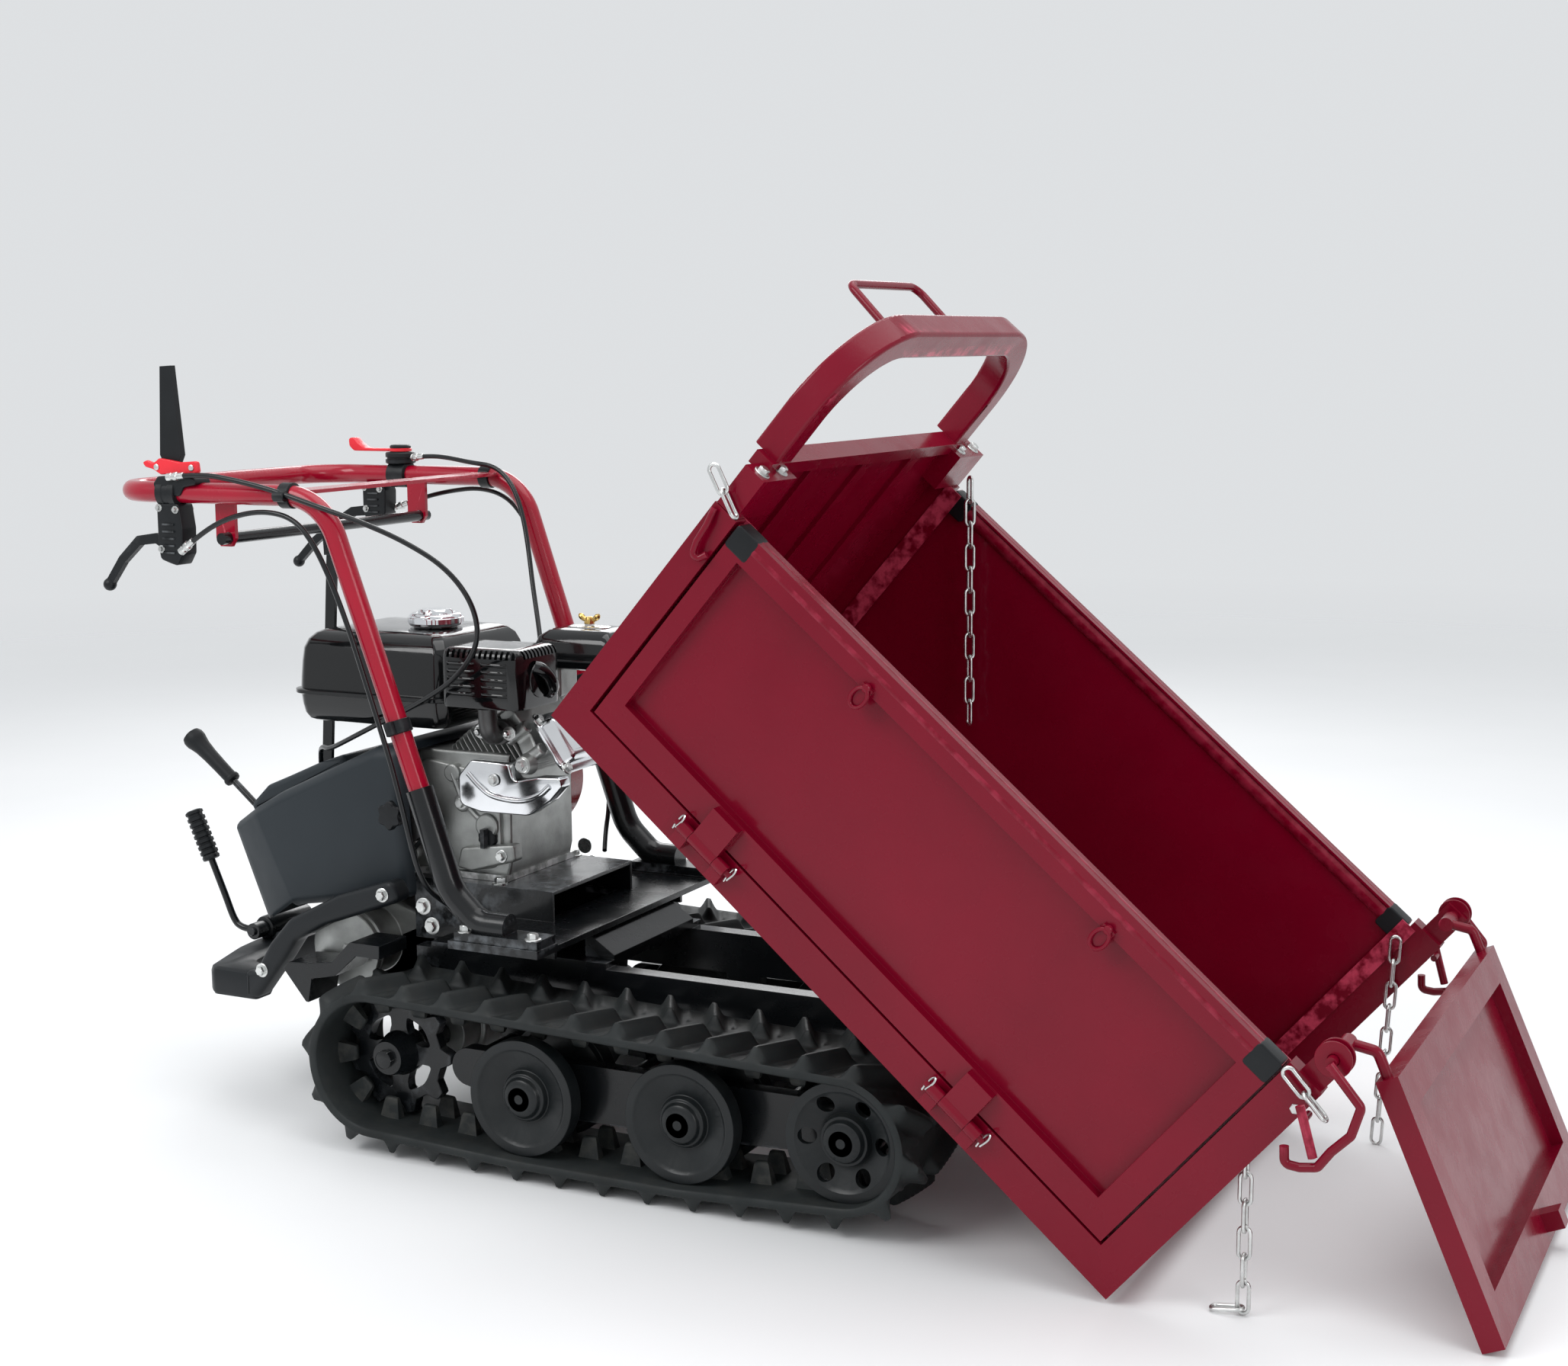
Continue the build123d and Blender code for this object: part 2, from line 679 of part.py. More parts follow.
BLADE_PIVOT = (-536.0, 888.0)


def blade_lever():
    """Upright tapered blade that hinges beside the near clamp's bracket."""
    blade = slab([(-528, 1018), (-547, 1017), (-553, 900), (-544, 882), (-526, 882), (-517, 900)],
                 -BAR_Y, 9)
    hub = cross_rod(*BLADE_PIVOT, -BAR_Y - 4.5, -BAR_Y + 5.2, 9)
    return fused(blade, hub)


def cross_brace():
    """Black cross tube in the lugs, with a clevis and its pin at the middle."""
    tube = cross_rod(-457, 790, -234, 234, 8)
    ears = [slab([(-464, 792), (-446, 792), (-444, 750), (-462, 750)], -3 + side * 6, 4)
            for side in SIDES]
    pin = cross_rod(-453, 758, -14, 8, 3)
    return fused(tube, *ears, pin)


def brace_stay():
    """Flat bar pinned to the clevis, running down through the slot in the cover."""
    bar = slab([(-444, 766), (-461, 766), (-484, 425), (-467, 425)], -3, 6)
    return cut(bar, cross_rod(-453, 758, -20, 20, 3 + RUNNING))



def gear_lever():
    grip = rod((-616, -40, 418), (-682, -40, 472), 12)
    knob = rod((-682, -40, 472), (-694, -40, 482), 16)
    stem = rod((GEAR_PIVOT[0], -40, GEAR_PIVOT[1]), (-618, -40, 419), 5)
    hub = cross_rod(*GEAR_PIVOT, -47, -33, 9)
    return fused(grip, knob, stem, hub)


def tip_lever():
    """Second lever with a ribbed grip, hinged behind the foot."""
    grip = rod((-643, -64, 304), (-674, -64, 374), 14)
    stem = bent_rod([(-644, -64, 306), (-602, -64, 212), (-566, -64, 206)], 12, 5)
    hub = cross_rod(*TIP_PIVOT, -72, -48.3, 12)
    return cut(fused(grip, stem, hub), cross_rod(*TIP_PIVOT, -80, -40, 6 + RUNNING))


def route(points, radius):
    """A cable along its route, with the arcs as large as the runs allow."""
    corners = [Vector(*point) for point in points]
    bends = []
    for before, corner, after in zip(corners, corners[1:], corners[2:]):
        turn = math.radians((corner - before).get_angle(after - corner))
        shorter = min((corner - before).length, (after - corner).length)
        bends.append(0.45 * shorter / math.tan(turn / 2))
    cable = bent_rod(points, bends, radius)
    print(f"cable: bends {min(bends):.0f} to {max(bends):.0f} mm, "
          f"length {cable.volume / (math.pi * radius ** 2):.0f} mm")
    return cable


# Each cable is clipped beside its tube and ends in a housing at both ends.
THROTTLE_ROUTE = [(-476.5, 232, 876), (-445, 230, 879), (-405, 222, 877), (-362, 214, 871),
                  (-316, 211, 867), (-284, 206, 840), (-264, 199, 800), (-247, 186, 752),
                  (-229, 167, 700), (-208, 146, 652), (-188, 122, 616), (-181, 102, 594)]
CLUTCH_ROUTE = [(-521, -250, 872), (-472, -252, 877), (-412, -252, 869), (-352, -251, 857),
                (-292, -250, 840), (-232, -238, 821), (-172, -223, 796), (-118, -207, 762),
                (-88, -192, 714), (-92, -176, 662), (-140, -160, 612), (-210, -146, 573),
                (-285, -130, 540), (-350, -116, 510), (-404, -90, 488), (-438, -62, 486),
                (-457, -42, 470), (-461, -35, 436)]
STEER_ROUTE = [(-509.5, -246, 777), (-470, -250, 803), (-420, -252, 823), (-368, -252, 831),
               (-322, -251, 822), (-292, -251, 790), (-267, -250, 742), (-242, -251, 685),
               (-222, -250, 625), (-201, -251, 567), (-183, -250, 512), (-167, -251, 456),
               (-156, -249, 406), (-151, -239, 364), (-145, -217, 332), (-131, -191, 313)]
FAR_STEER_ROUTE = [(-517.5, 246, 800), (-474, 250, 815), (-424, 252, 826), (-370, 251, 832),
                   (-324, 251, 820), (-293, 250, 788), (-268, 251, 740), (-243, 250, 684),
                   (-221, 251, 624), (-201, 250, 567), (-182, 251, 512), (-167, 250, 456),
                   (-156, 249, 406), (-151, 239, 364), (-145, 217, 332), (-131, 191, 313)]


# ---------------------------------------------------------------- skip
def skip_tray():
    """Floor, side beams, cross members, corner posts, hinge knuckles and tipping ears."""
    half = SKIP_W / 2
    floor = block(2, SKIP_L, -(half - BEAM_W), half - BEAM_W, 38, BEAM_H)
    members = [block(s, s + 40, -(half - BEAM_W), half - BEAM_W, 0, 38)
               for s in (2, PIVOT_S - 20, SKIP_L - 40)]
    pieces = [floor, *members]
    for side in SIDES:
        inner = side * (half - BEAM_W)
        outer = side * half
        low, high = min(inner, outer), max(inner, outer)
        pieces.append(block(0, SKIP_L, low, high, 0, BEAM_H))
        pieces.append(block(0, REAR_POST, low, high, BEAM_H, SKIP_H))
        pieces.append(block(SKIP_L - FRONT_POST, SKIP_L, low, high, BEAM_H, SKIP_H + 8))
        pieces.append(block(888, 918, side * (half - 13) - 3, side * (half - 13) + 3, SKIP_H, 398))
        for start, end in HINGE_SPANS:
            for s0 in (start, end - 18):
                pieces.append(rod((s0, side * PIN_AXIS_Y, PIN_AXIS_T),
                                  (s0 + 18, side * PIN_AXIS_Y, PIN_AXIS_T), 8))
                y_low, y_high = sorted((outer, side * (PIN_AXIS_Y + 4)))
                pieces.append(block(s0, s0 + 18, y_low, y_high, 8, PIN_AXIS_T))
            pieces.append(rod((start - 8, side * PIN_AXIS_Y, PIN_AXIS_T),
                              (end + 8, side * PIN_AXIS_Y, PIN_AXIS_T), PIN_R))
        ear = slab([(PIVOT_S - 36, 4), (PIVOT_S - 17, PIVOT_T - 12), (PIVOT_S - 8, PIVOT_T - 19),
                    (PIVOT_S + 8, PIVOT_T - 19), (PIVOT_S + 17, PIVOT_T - 12), (PIVOT_S + 36, 4)],
                   side * 138, 10)
        pieces.append(ear)
        spool_pin = cross_rod(*GATE_AXIS, side * (half - 26), side * 353, 6)
        pieces.append(spool_pin)
    tray = fused(*pieces)
    hollows = [block(-5, 150, side * (half - BEAM_W / 2) - BEAM_W / 2 + BEAM_T,
                     side * (half - BEAM_W / 2) + BEAM_W / 2 - BEAM_T, BEAM_T, BEAM_H - BEAM_T)
               for side in SIDES]
    shaft_hole = cross_rod(PIVOT_S, PIVOT_T, -200, 200, 12 + RUNNING)
    return tipped(cut(tray, shaft_hole, *hollows))


def gate_spools():
    """Flanged spools that the gate's hinge pins turn in, one on each front post."""
    half = SKIP_W / 2
    spools = []
    for side in SIDES:
        for y0, y1, radius in ((6, 9, 20), (9, 20, 14), (20, 23, 20)):
            spools.append(cross_rod(*GATE_AXIS, side * (half - 13 + y0 - 3),
                                    side * (half - 13 + y1 - 3), radius))
    bored = cut(fused(*spools), cross_rod(*GATE_AXIS, -400, 400, 6 + RUNNING))
    return tipped(bored)


HOOP_R = 19.0
HOOP_HALF = 268.0
HOOP_TOP = 581.0
HOOP_S = -4.0


def headboard():
    """Rear sheet, its top rail, the square-tube hoop above it and the wire grab handle."""
    half = SKIP_W / 2 - BEAM_W
    sheet = block(3, 6, -half, half, BEAM_H + 3, 396)
    ribs = [block(6, 12, y - 15, y + 15, BEAM_H + 8, 390) for y in (-150, 0, 150)]
    rail = block(-10, 16, -300, 300, 392, 410)
    with BuildPart() as hoop:
        with BuildLine() as path:
            FilletPolyline((HOOP_S, -HOOP_HALF, 410), (HOOP_S, -HOOP_HALF, HOOP_TOP),
                           (HOOP_S, HOOP_HALF, HOOP_TOP), (HOOP_S, HOOP_HALF, 410), radius=112)
        with BuildSketch(Plane(origin=path.line @ 0, x_dir=(1, 0, 0), z_dir=path.line % 0)):
            RectangleRounded(2 * HOOP_R, 2 * HOOP_R, 5)
        sweep()
    corner_straps = []
    for side in SIDES:
        y_low, y_high = sorted((side * 250, side * (SKIP_W / 2 - 1)))
        corner_straps.append(block(2, 32, y_low, y_high, SKIP_H + 0.5, 400))
    grab = bent_rod([(HOOP_S, -180, HOOP_TOP), (-92, -164, HOOP_TOP + 4), (-92, 32, HOOP_TOP + 4),
                     (HOOP_S, 18, HOOP_TOP)], 16, 5)
    return tipped(fused(sheet, *ribs, rail, hoop.part, grab, *corner_straps))


def side_panel(side):
    """Drop side with a recessed sheet, a round top rail, end caps and its hinge leaves."""
    outer = side * SKIP_W / 2
    inner = side * (SKIP_W / 2 - PANEL_THICK)
    low, high = min(outer, inner), max(outer, inner)
    body = block(PANEL_S0, PANEL_S1, low, high, PANEL_T0, SKIP_H)
    pocket_low, pocket_high = sorted((outer, side * (SKIP_W / 2 - 14)))
    pocket = block(PANEL_S0 + 25, PANEL_S1 - PANEL_BORDER, pocket_low, pocket_high,
                   PANEL_T0 + PANEL_BORDER, SKIP_H - PANEL_BORDER)
    back_low, back_high = sorted((inner, side * (SKIP_W / 2 - 17)))
    back = block(PANEL_S0 + 3, PANEL_S1 - 3, back_low, back_high, PANEL_T0 + 3, SKIP_H - 3)
    pieces = [cut(body, pocket, back)]
    leaf_cuts = []
    for start, end in HINGE_SPANS:
        y = side * PIN_AXIS_Y
        pieces.append(rod((start + 18.5, y, PIN_AXIS_T), (end - 18.5, y, PIN_AXIS_T), 8))
        leaf_low, leaf_high = sorted((outer, side * (PIN_AXIS_Y + 4)))
        pieces.append(block(start + 18.5, end - 18.5, leaf_low, leaf_high, PIN_AXIS_T + 4, 78))
        leaf_cuts.append(rod((start, y, PIN_AXIS_T), (end, y, PIN_AXIS_T), PIN_R + RUNNING))
    eyelets = []
    for s in (275, 647):
        y_low, y_high = sorted((outer, side * (SKIP_W / 2 + 5)))
        eyelets.append(block(s - 8, s + 8, y_low, y_high, 288, 316))
    return tipped(cut(fused(*pieces, *eyelets), *leaf_cuts))


def tailgate():
    """Front gate: bordered tray, goosenecks up to the hinge pins, striker tab. Made shut."""
    body = block(GATE_S0, GATE_S1, -GATE_HALF, GATE_HALF, GATE_BOTTOM_T, GATE_TOP_T)
    pocket = block(GATE_S1 - 15, GATE_S1, -(GATE_HALF - 40), GATE_HALF - 40,
                   GATE_BOTTOM_T + 48, GATE_TOP_T - 40)
    back = block(GATE_S0, GATE_S0 + 7, -(GATE_HALF - 3), GATE_HALF - 3,
                 GATE_BOTTOM_T + 3, GATE_TOP_T - 3)
    striker = block(GATE_S1 - 1, GATE_S1 + 22, 25, 50, GATE_BOTTOM_T + 12, GATE_BOTTOM_T + 34)
    pieces = [cut(body, pocket, back), striker]
    s, t = GATE_AXIS
    for side in SIDES:
        y = side * 277
        pieces.append(bent_rod([(930, y, GATE_TOP_T - 6), (930, y, 372), (s + 1, y, t)],
                               10, 6))
        pieces.append(cross_rod(s, t, side * 270, side * 304, 9))
    return fused(*pieces)


def hung_gate():
    """The gate swung open about its hinge and set in the tipped skip's place."""
    hinge = Axis((GATE_AXIS[0], 0, GATE_AXIS[1]), (0, 1, 0))
    return tipped(tailgate().rotate(hinge, -GATE_OPEN))


def side_latches():
    """Red bent-rod latches: a loop and pin on each front post, a bail on each rear post."""
    latches = []
    y = 358.5
    for side in SIDES:
        flip = [(930, 290), (943, 276), (956, 285), (968, 299), (966, 322), (968, 350), (955, 380),
                (903, 389)]
        loop = [(s, side * y, t) for s, t in flip]
        latches.append(bent_rod(loop, 7, 5))
        latches.append(rod((912, side * y, 334), (958, side * y, 303), 5))
        latches.append(cross_rod(925, 325, side * (SKIP_W / 2 + 0.2), side * y, 4))
        bail_y = SKIP_W / 2 + 4.2
        bail = [(6, side * bail_y, 338), (12, side * (bail_y + 3), 318),
                (15, side * (bail_y + 5), 296), (24, side * (bail_y + 5), 270),
                (33, side * (bail_y + 2), 292)]
        latches.append(bent_rod(bail, 6, 4))
    return tipped(fused(*latches))


# ---------------------------------------------------------------- chains
LINK_L, LINK_W, WIRE_R = 40.0, 17.0, 2.2
LINK_PITCH = LINK_L - 4 * WIRE_R - 0.6


def chain_link():
    """One welded link: a round wire bent to a slot, standing along Z."""
    straight = (LINK_L - LINK_W) / 2
    reach = LINK_W / 2 - WIRE_R
    with BuildPart() as link:
        with BuildLine() as path:
            Line((reach, 0, -straight), (reach, 0, straight))
            ThreePointArc((reach, 0, straight), (0, 0, straight + reach), (-reach, 0, straight))
            Line((-reach, 0, straight), (-reach, 0, -straight))
            ThreePointArc((-reach, 0, -straight), (0, 0, -straight - reach), (reach, 0, -straight))
        with BuildSketch(Plane(origin=(reach, 0, 0), z_dir=(0, 0, 1))):
            Circle(WIRE_R)
        sweep(path=path.wires()[0])
    return link.part


def chain(start, end, count, roll=0.0):
    """Links strung in a straight line between two points, each turned from the last."""
    first = Vector(*start)
    ahead = (Vector(*end) - first).normalized()
    level = Vector(0, 1, 0).cross(ahead).normalized()
    upright = ahead.cross(level)
    one = chain_link()
    links = []
    for index in range(count):
        centre = first + ahead * (LINK_L / 2 + index * LINK_PITCH)
        turn = math.radians(roll + 90 * (index % 2))
        flat = level * math.cos(turn) + upright * math.sin(turn)
        links.append(one.moved(Plane(origin=centre, x_dir=flat, z_dir=ahead).location))
    return links


def chains():
    """Short restraint chains at two corners and long free tails that hang plumb."""
    corner_y = -(SKIP_W / 2 + 9.3)
    links = chain((953, -CHAIN_Y, 224), (953, -CHAIN_Y, 0), 7)
    links += chain((955.5, -CHAIN_Y, 8.4), (915.5, -CHAIN_Y, 2.9), 1, 90)
    links += chain((985, CHAIN_Y, 283), (967, CHAIN_Y, 0), 9)
    links += chain((396, 294, 862), (396, 294, 0), 11, 45)
    corner_links = chain((-28, corner_y, 376), (38, corner_y, 348), 2)
    corner_links += chain((873.5, corner_y, 346), (935, corner_y, 338), 2)
    return fused(*links, tipped(fused(*corner_links)))


# ---------------------------------------------------------------- build
os.makedirs("parts", exist_ok=True)

track = rubber_track()
save(track, "track_far")
save(mirrored(track), "track_near")
rollers = {
    "rear_roller": roller_solid(*REAR_ROLLER),
    "front_roller": roller_solid(*FRONT_ROLLER),
    "idler": roller_solid(*IDLER, windows=6),
    "sprocket": sprocket(),
}
for wheel_name, wheel_part in rollers.items():
    save(wheel_part, wheel_name + "_far")
    save(mirrored(wheel_part), wheel_name + "_near")
beam = track_beam()
save(fused(beam, mirrored(beam)), "track_beams")

save(main_frame(), "main_frame")
save(pivot_shaft(), "pivot_shaft")
save(gearbox(), "gearbox")
save(mud_plates(), "mud_plates")
save(rear_cover(), "rear_cover")
save(bumper(), "bumper")
save(linkage_rod(), "linkage_rod")

save(engine_block(), "engine_block")
save(cylinder(), "cylinder")
save(valve_cover(), "valve_cover")
save(engine_shroud(), "engine_shroud")
save(exhaust_pipe(), "exhaust_pipe")
save(muffler_guard(), "muffler_guard")
save(muffler(), "muffler")
save(air_cleaner(), "air_cleaner")
save(fuel_tank(), "fuel_tank")
save(fuel_cap(), "fuel_cap")
save(recoil_housing(), "recoil_housing")
save(starter_grip(), "starter_grip")
save(carburettor(), "carburettor")
save(oil_plugs(), "oil_plugs")
save(engine_fasteners(), "engine_fasteners")
save(pulley(ENGINE_PULLEY, 29.5), "engine_pulley")
save(pulley(GEARBOX_PULLEY, 29.5), "gearbox_pulley")
save(drive_belt(), "drive_belt")

save(handlebar(), "handlebar")
save(handlebar_sockets(), "handlebar_sockets")
save(lever_clamps(), "lever_clamps")
save(throttle_housing(), "throttle_housing")
save(throttle_lever(), "throttle_lever")
for side, side_name in SIDE_NAMES.items():
    save(steering_lever(side), "steering_lever_" + side_name)
save(blade_lever(), "blade_lever")
save(cross_brace(), "cross_brace")
save(brace_stay(), "brace_stay")
save(gear_lever(), "gear_lever")
save(tip_lever(), "tip_lever")
save(route(THROTTLE_ROUTE, CABLE_R), "throttle_cable")
save(route(CLUTCH_ROUTE, CABLE_R), "clutch_cable")
save(route(STEER_ROUTE, CABLE_R), "steering_cable_near")
save(route(FAR_STEER_ROUTE, CABLE_R), "steering_cable_far")

save(skip_tray(), "skip_tray")
save(gate_spools(), "gate_spools")
save(headboard(), "headboard")
for side, side_name in SIDE_NAMES.items():
    save(side_panel(side), "side_panel_" + side_name)
save(hung_gate(), "tailgate")
save(side_latches(), "side_latches")
save(chains(), "chains")
print(f"skip pivot at x {PIVOT_X - MID_X:.2f} z {PIVOT_Z:.2f}")
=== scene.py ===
"""Looks of the tracked mini dumper: materials, fine shapes, studio and camera.

The CAD nodes are the frame. A node whose plain solid isn't fine enough is replaced by a
softened copy of its own mesh, or by a piece built here in the space its solid holds.
"""
import json
import math
import random

import bmesh
import bpy
from mathutils import Matrix, Vector


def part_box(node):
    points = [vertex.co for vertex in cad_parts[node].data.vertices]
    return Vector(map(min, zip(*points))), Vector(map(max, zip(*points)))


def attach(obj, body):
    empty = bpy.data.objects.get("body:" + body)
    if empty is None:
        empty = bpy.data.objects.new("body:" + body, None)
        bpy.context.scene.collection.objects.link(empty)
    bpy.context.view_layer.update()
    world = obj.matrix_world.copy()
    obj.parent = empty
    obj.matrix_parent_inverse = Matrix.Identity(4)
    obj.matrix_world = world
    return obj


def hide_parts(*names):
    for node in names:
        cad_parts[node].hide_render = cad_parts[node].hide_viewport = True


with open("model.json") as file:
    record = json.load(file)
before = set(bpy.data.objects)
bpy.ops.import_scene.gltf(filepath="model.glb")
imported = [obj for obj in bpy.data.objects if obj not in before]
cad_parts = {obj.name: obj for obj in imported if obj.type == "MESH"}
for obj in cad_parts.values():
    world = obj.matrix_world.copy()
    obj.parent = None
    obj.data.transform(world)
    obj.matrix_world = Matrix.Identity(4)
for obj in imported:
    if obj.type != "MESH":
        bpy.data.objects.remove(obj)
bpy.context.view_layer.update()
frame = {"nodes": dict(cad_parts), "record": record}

DATUM_X = 266.95                # the part's origin, forward of the working datum, in mm
SIDES = (-1, 1)
SIDE_NAMES = {-1: "near", 1: "far"}
TILT = math.radians(40.8)
SKIP_REAR = (114.0, 606.0)
NODES = frame["nodes"]
BODY_OF = {n: b for b, ns in frame["record"]["behaviour"]["bodies"].items() for n in ns}
SLOT_OF = {s["node"]: s["material_slot"] for s in frame["record"]["subparts"]}


def W(x, y, z):
    """A point of the machine, in mm from the working datum, in the row frame in metres."""
    return Vector((x - DATUM_X, y, z)) / 1000


def K(s, y, t):
    """A point in the tipped skip's own level frame, in mm, in the row frame in metres."""
    x = SKIP_REAR[0] + s * math.cos(TILT) + t * math.sin(TILT)
    z = SKIP_REAR[1] - s * math.sin(TILT) + t * math.cos(TILT)
    return W(x, y, z)


# ---------------------------------------------------------------- camera
AZIMUTH, PITCH, ROLL = math.radians(26.38), math.radians(8.38), math.radians(-0.40)
CAMERA_AT = (1.29305, -2.627, 1.040)
LENS, SENSOR = 52.78, 36
forward = Vector((-math.sin(AZIMUTH) * math.cos(PITCH), math.cos(AZIMUTH) * math.cos(PITCH),
                  -math.sin(PITCH)))
level_right = Vector((math.cos(AZIMUTH), math.sin(AZIMUTH), 0))
level_up = level_right.cross(forward)
right = level_right * math.cos(ROLL) + level_up * math.sin(ROLL)
up = level_up * math.cos(ROLL) - level_right * math.sin(ROLL)
camera = bpy.data.objects.new("camera", bpy.data.cameras.new("camera"))
bpy.context.scene.collection.objects.link(camera)
camera.data.lens = LENS
camera.data.sensor_width = SENSOR
turn = Matrix((right, up, -forward)).transposed().to_4x4()
camera.matrix_world = Matrix.Translation(CAMERA_AT) @ turn
bpy.context.scene.camera = camera


# ---------------------------------------------------------------- materials
class Shader:
    """A material's node tree, with short calls for the nodes used here."""

    def __init__(self, name):
        self.material = bpy.data.materials.new(name)
        self.material.use_nodes = True
        self.nodes = self.material.node_tree.nodes
        self.links = self.material.node_tree.links
        self.body = self.nodes["Principled BSDF"]
        self.place = self.nodes.new("ShaderNodeTexCoord").outputs["Object"]

    def join(self, start, end):
        self.links.new(start, end)

    def noise(self, scale, detail=3.0, roughness=0.55, stretch=None):
        node = self.nodes.new("ShaderNodeTexNoise")
        node.inputs["Scale"].default_value = scale
        node.inputs["Detail"].default_value = detail
        node.inputs["Roughness"].default_value = roughness
        place = self.place
        if stretch:
            mapping = self.nodes.new("ShaderNodeMapping")
            mapping.inputs["Scale"].default_value = stretch
            self.join(self.place, mapping.inputs["Vector"])
            place = mapping.outputs["Vector"]
        self.join(place, node.inputs["Vector"])
        return node.outputs["Fac"]

    def span(self, value, low, high, to_low=0.0, to_high=1.0):
        node = self.nodes.new("ShaderNodeMapRange")
        for name, number in (("From Min", low), ("From Max", high), ("To Min", to_low),
                             ("To Max", to_high)):
            node.inputs[name].default_value = number
        self.join(value, node.inputs["Value"])
        return node.outputs["Result"]

    def times(self, one, other):
        node = self.nodes.new("ShaderNodeMath")
        node.operation = "MULTIPLY"
        for index, value in enumerate((one, other)):
            if isinstance(value, float):
                node.inputs[index].default_value = value
            else:
                self.join(value, node.inputs[index])
        return node.outputs[0]

    def mix(self, share, one, other):
        node = self.nodes.new("ShaderNodeMix")
        node.data_type = "RGBA"
        self.join(share, node.inputs["Factor"])
        for socket, value in ((node.inputs[6], one), (node.inputs[7], other)):
            if isinstance(value, tuple):
                socket.default_value = (*value, 1.0)
            else:
                self.join(value, socket)
        return node.outputs[2]

    def bump(self, height, distance, below=None):
        node = self.nodes.new("ShaderNodeBump")
        node.inputs["Strength"].default_value = 1.0
        node.inputs["Distance"].default_value = distance
        self.join(height, node.inputs["Height"])
        if below is not None:
            self.join(below, node.inputs["Normal"])
        return node.outputs["Normal"]


def tinted(colour, share):
    return tuple(min(1.0, c * share) for c in colour)


def surface(name, colour, rough, metallic=0.0, coat=0.0, coat_rough=0.1, mottle=(7.0, 0.14),
            grain=(700.0, 0.00004), patch=0.07, orange_peel=0.0, wear_and_highlight=None, dust=None,
            specular=0.5):
    """A finish with mottled colour, uneven gloss, grain, and lighter sharp edges (a painted
    highlight on the reds, wear on the rubber) or settled dust.
    """
    shader = Shader(name)
    body = shader.body
    body.inputs["Metallic"].default_value = metallic
    body.inputs["Coat Weight"].default_value = coat
    body.inputs["Coat Roughness"].default_value = coat_rough
    body.inputs["Specular IOR Level"].default_value = specular
    spread = shader.span(shader.noise(mottle[0], 5.0), 0.3, 0.7)
    paint = shader.mix(spread, tinted(colour, 1 - mottle[1]), tinted(colour, 1 + mottle[1]))
    # Sharp edges, found by pointiness and broken up by noise, get a lighter colour: a painted
    # highlight on the reds, wear on the rubber, plainly lighter edges on the other finishes.
    if wear_and_highlight:
        worn_and_highlight_colour, low, high = wear_and_highlight
        geometry = shader.nodes.new("ShaderNodeNewGeometry")
        edges = shader.span(geometry.outputs["Pointiness"], low, high)
        broken = shader.span(shader.noise(60.0, 4.0), 0.42, 0.62)
        paint = shader.mix(shader.times(edges, broken), paint, worn_and_highlight_colour)
    if dust:
        dust_colour, share = dust
        facing = shader.nodes.new("ShaderNodeNewGeometry")
        parts = shader.nodes.new("ShaderNodeSeparateXYZ")
        shader.join(facing.outputs["Normal"], parts.inputs[0])
        upward = shader.span(parts.outputs["Z"], 0.1, 1.0, 0.25, 1.0)
        cloud = shader.span(shader.noise(28.0, 6.0, 0.7), 0.45, 0.75, 0.0, share)
        paint = shader.mix(shader.times(upward, cloud), paint, dust_colour)
    shader.join(paint, body.inputs["Base Color"])
    glossiest = max(0.03, rough - patch)
    uneven = shader.span(shader.noise(19.0, 4.0), 0.3, 0.7, glossiest, rough + patch)
    shader.join(uneven, body.inputs["Roughness"])
    normal = None
    if orange_peel:
        normal = shader.bump(shader.noise(140.0, 1.0), orange_peel)
    fine = shader.noise(grain[0], 3.0, 0.6)
    shader.join(shader.bump(fine, grain[1], normal), body.inputs["Normal"])
    return shader.material


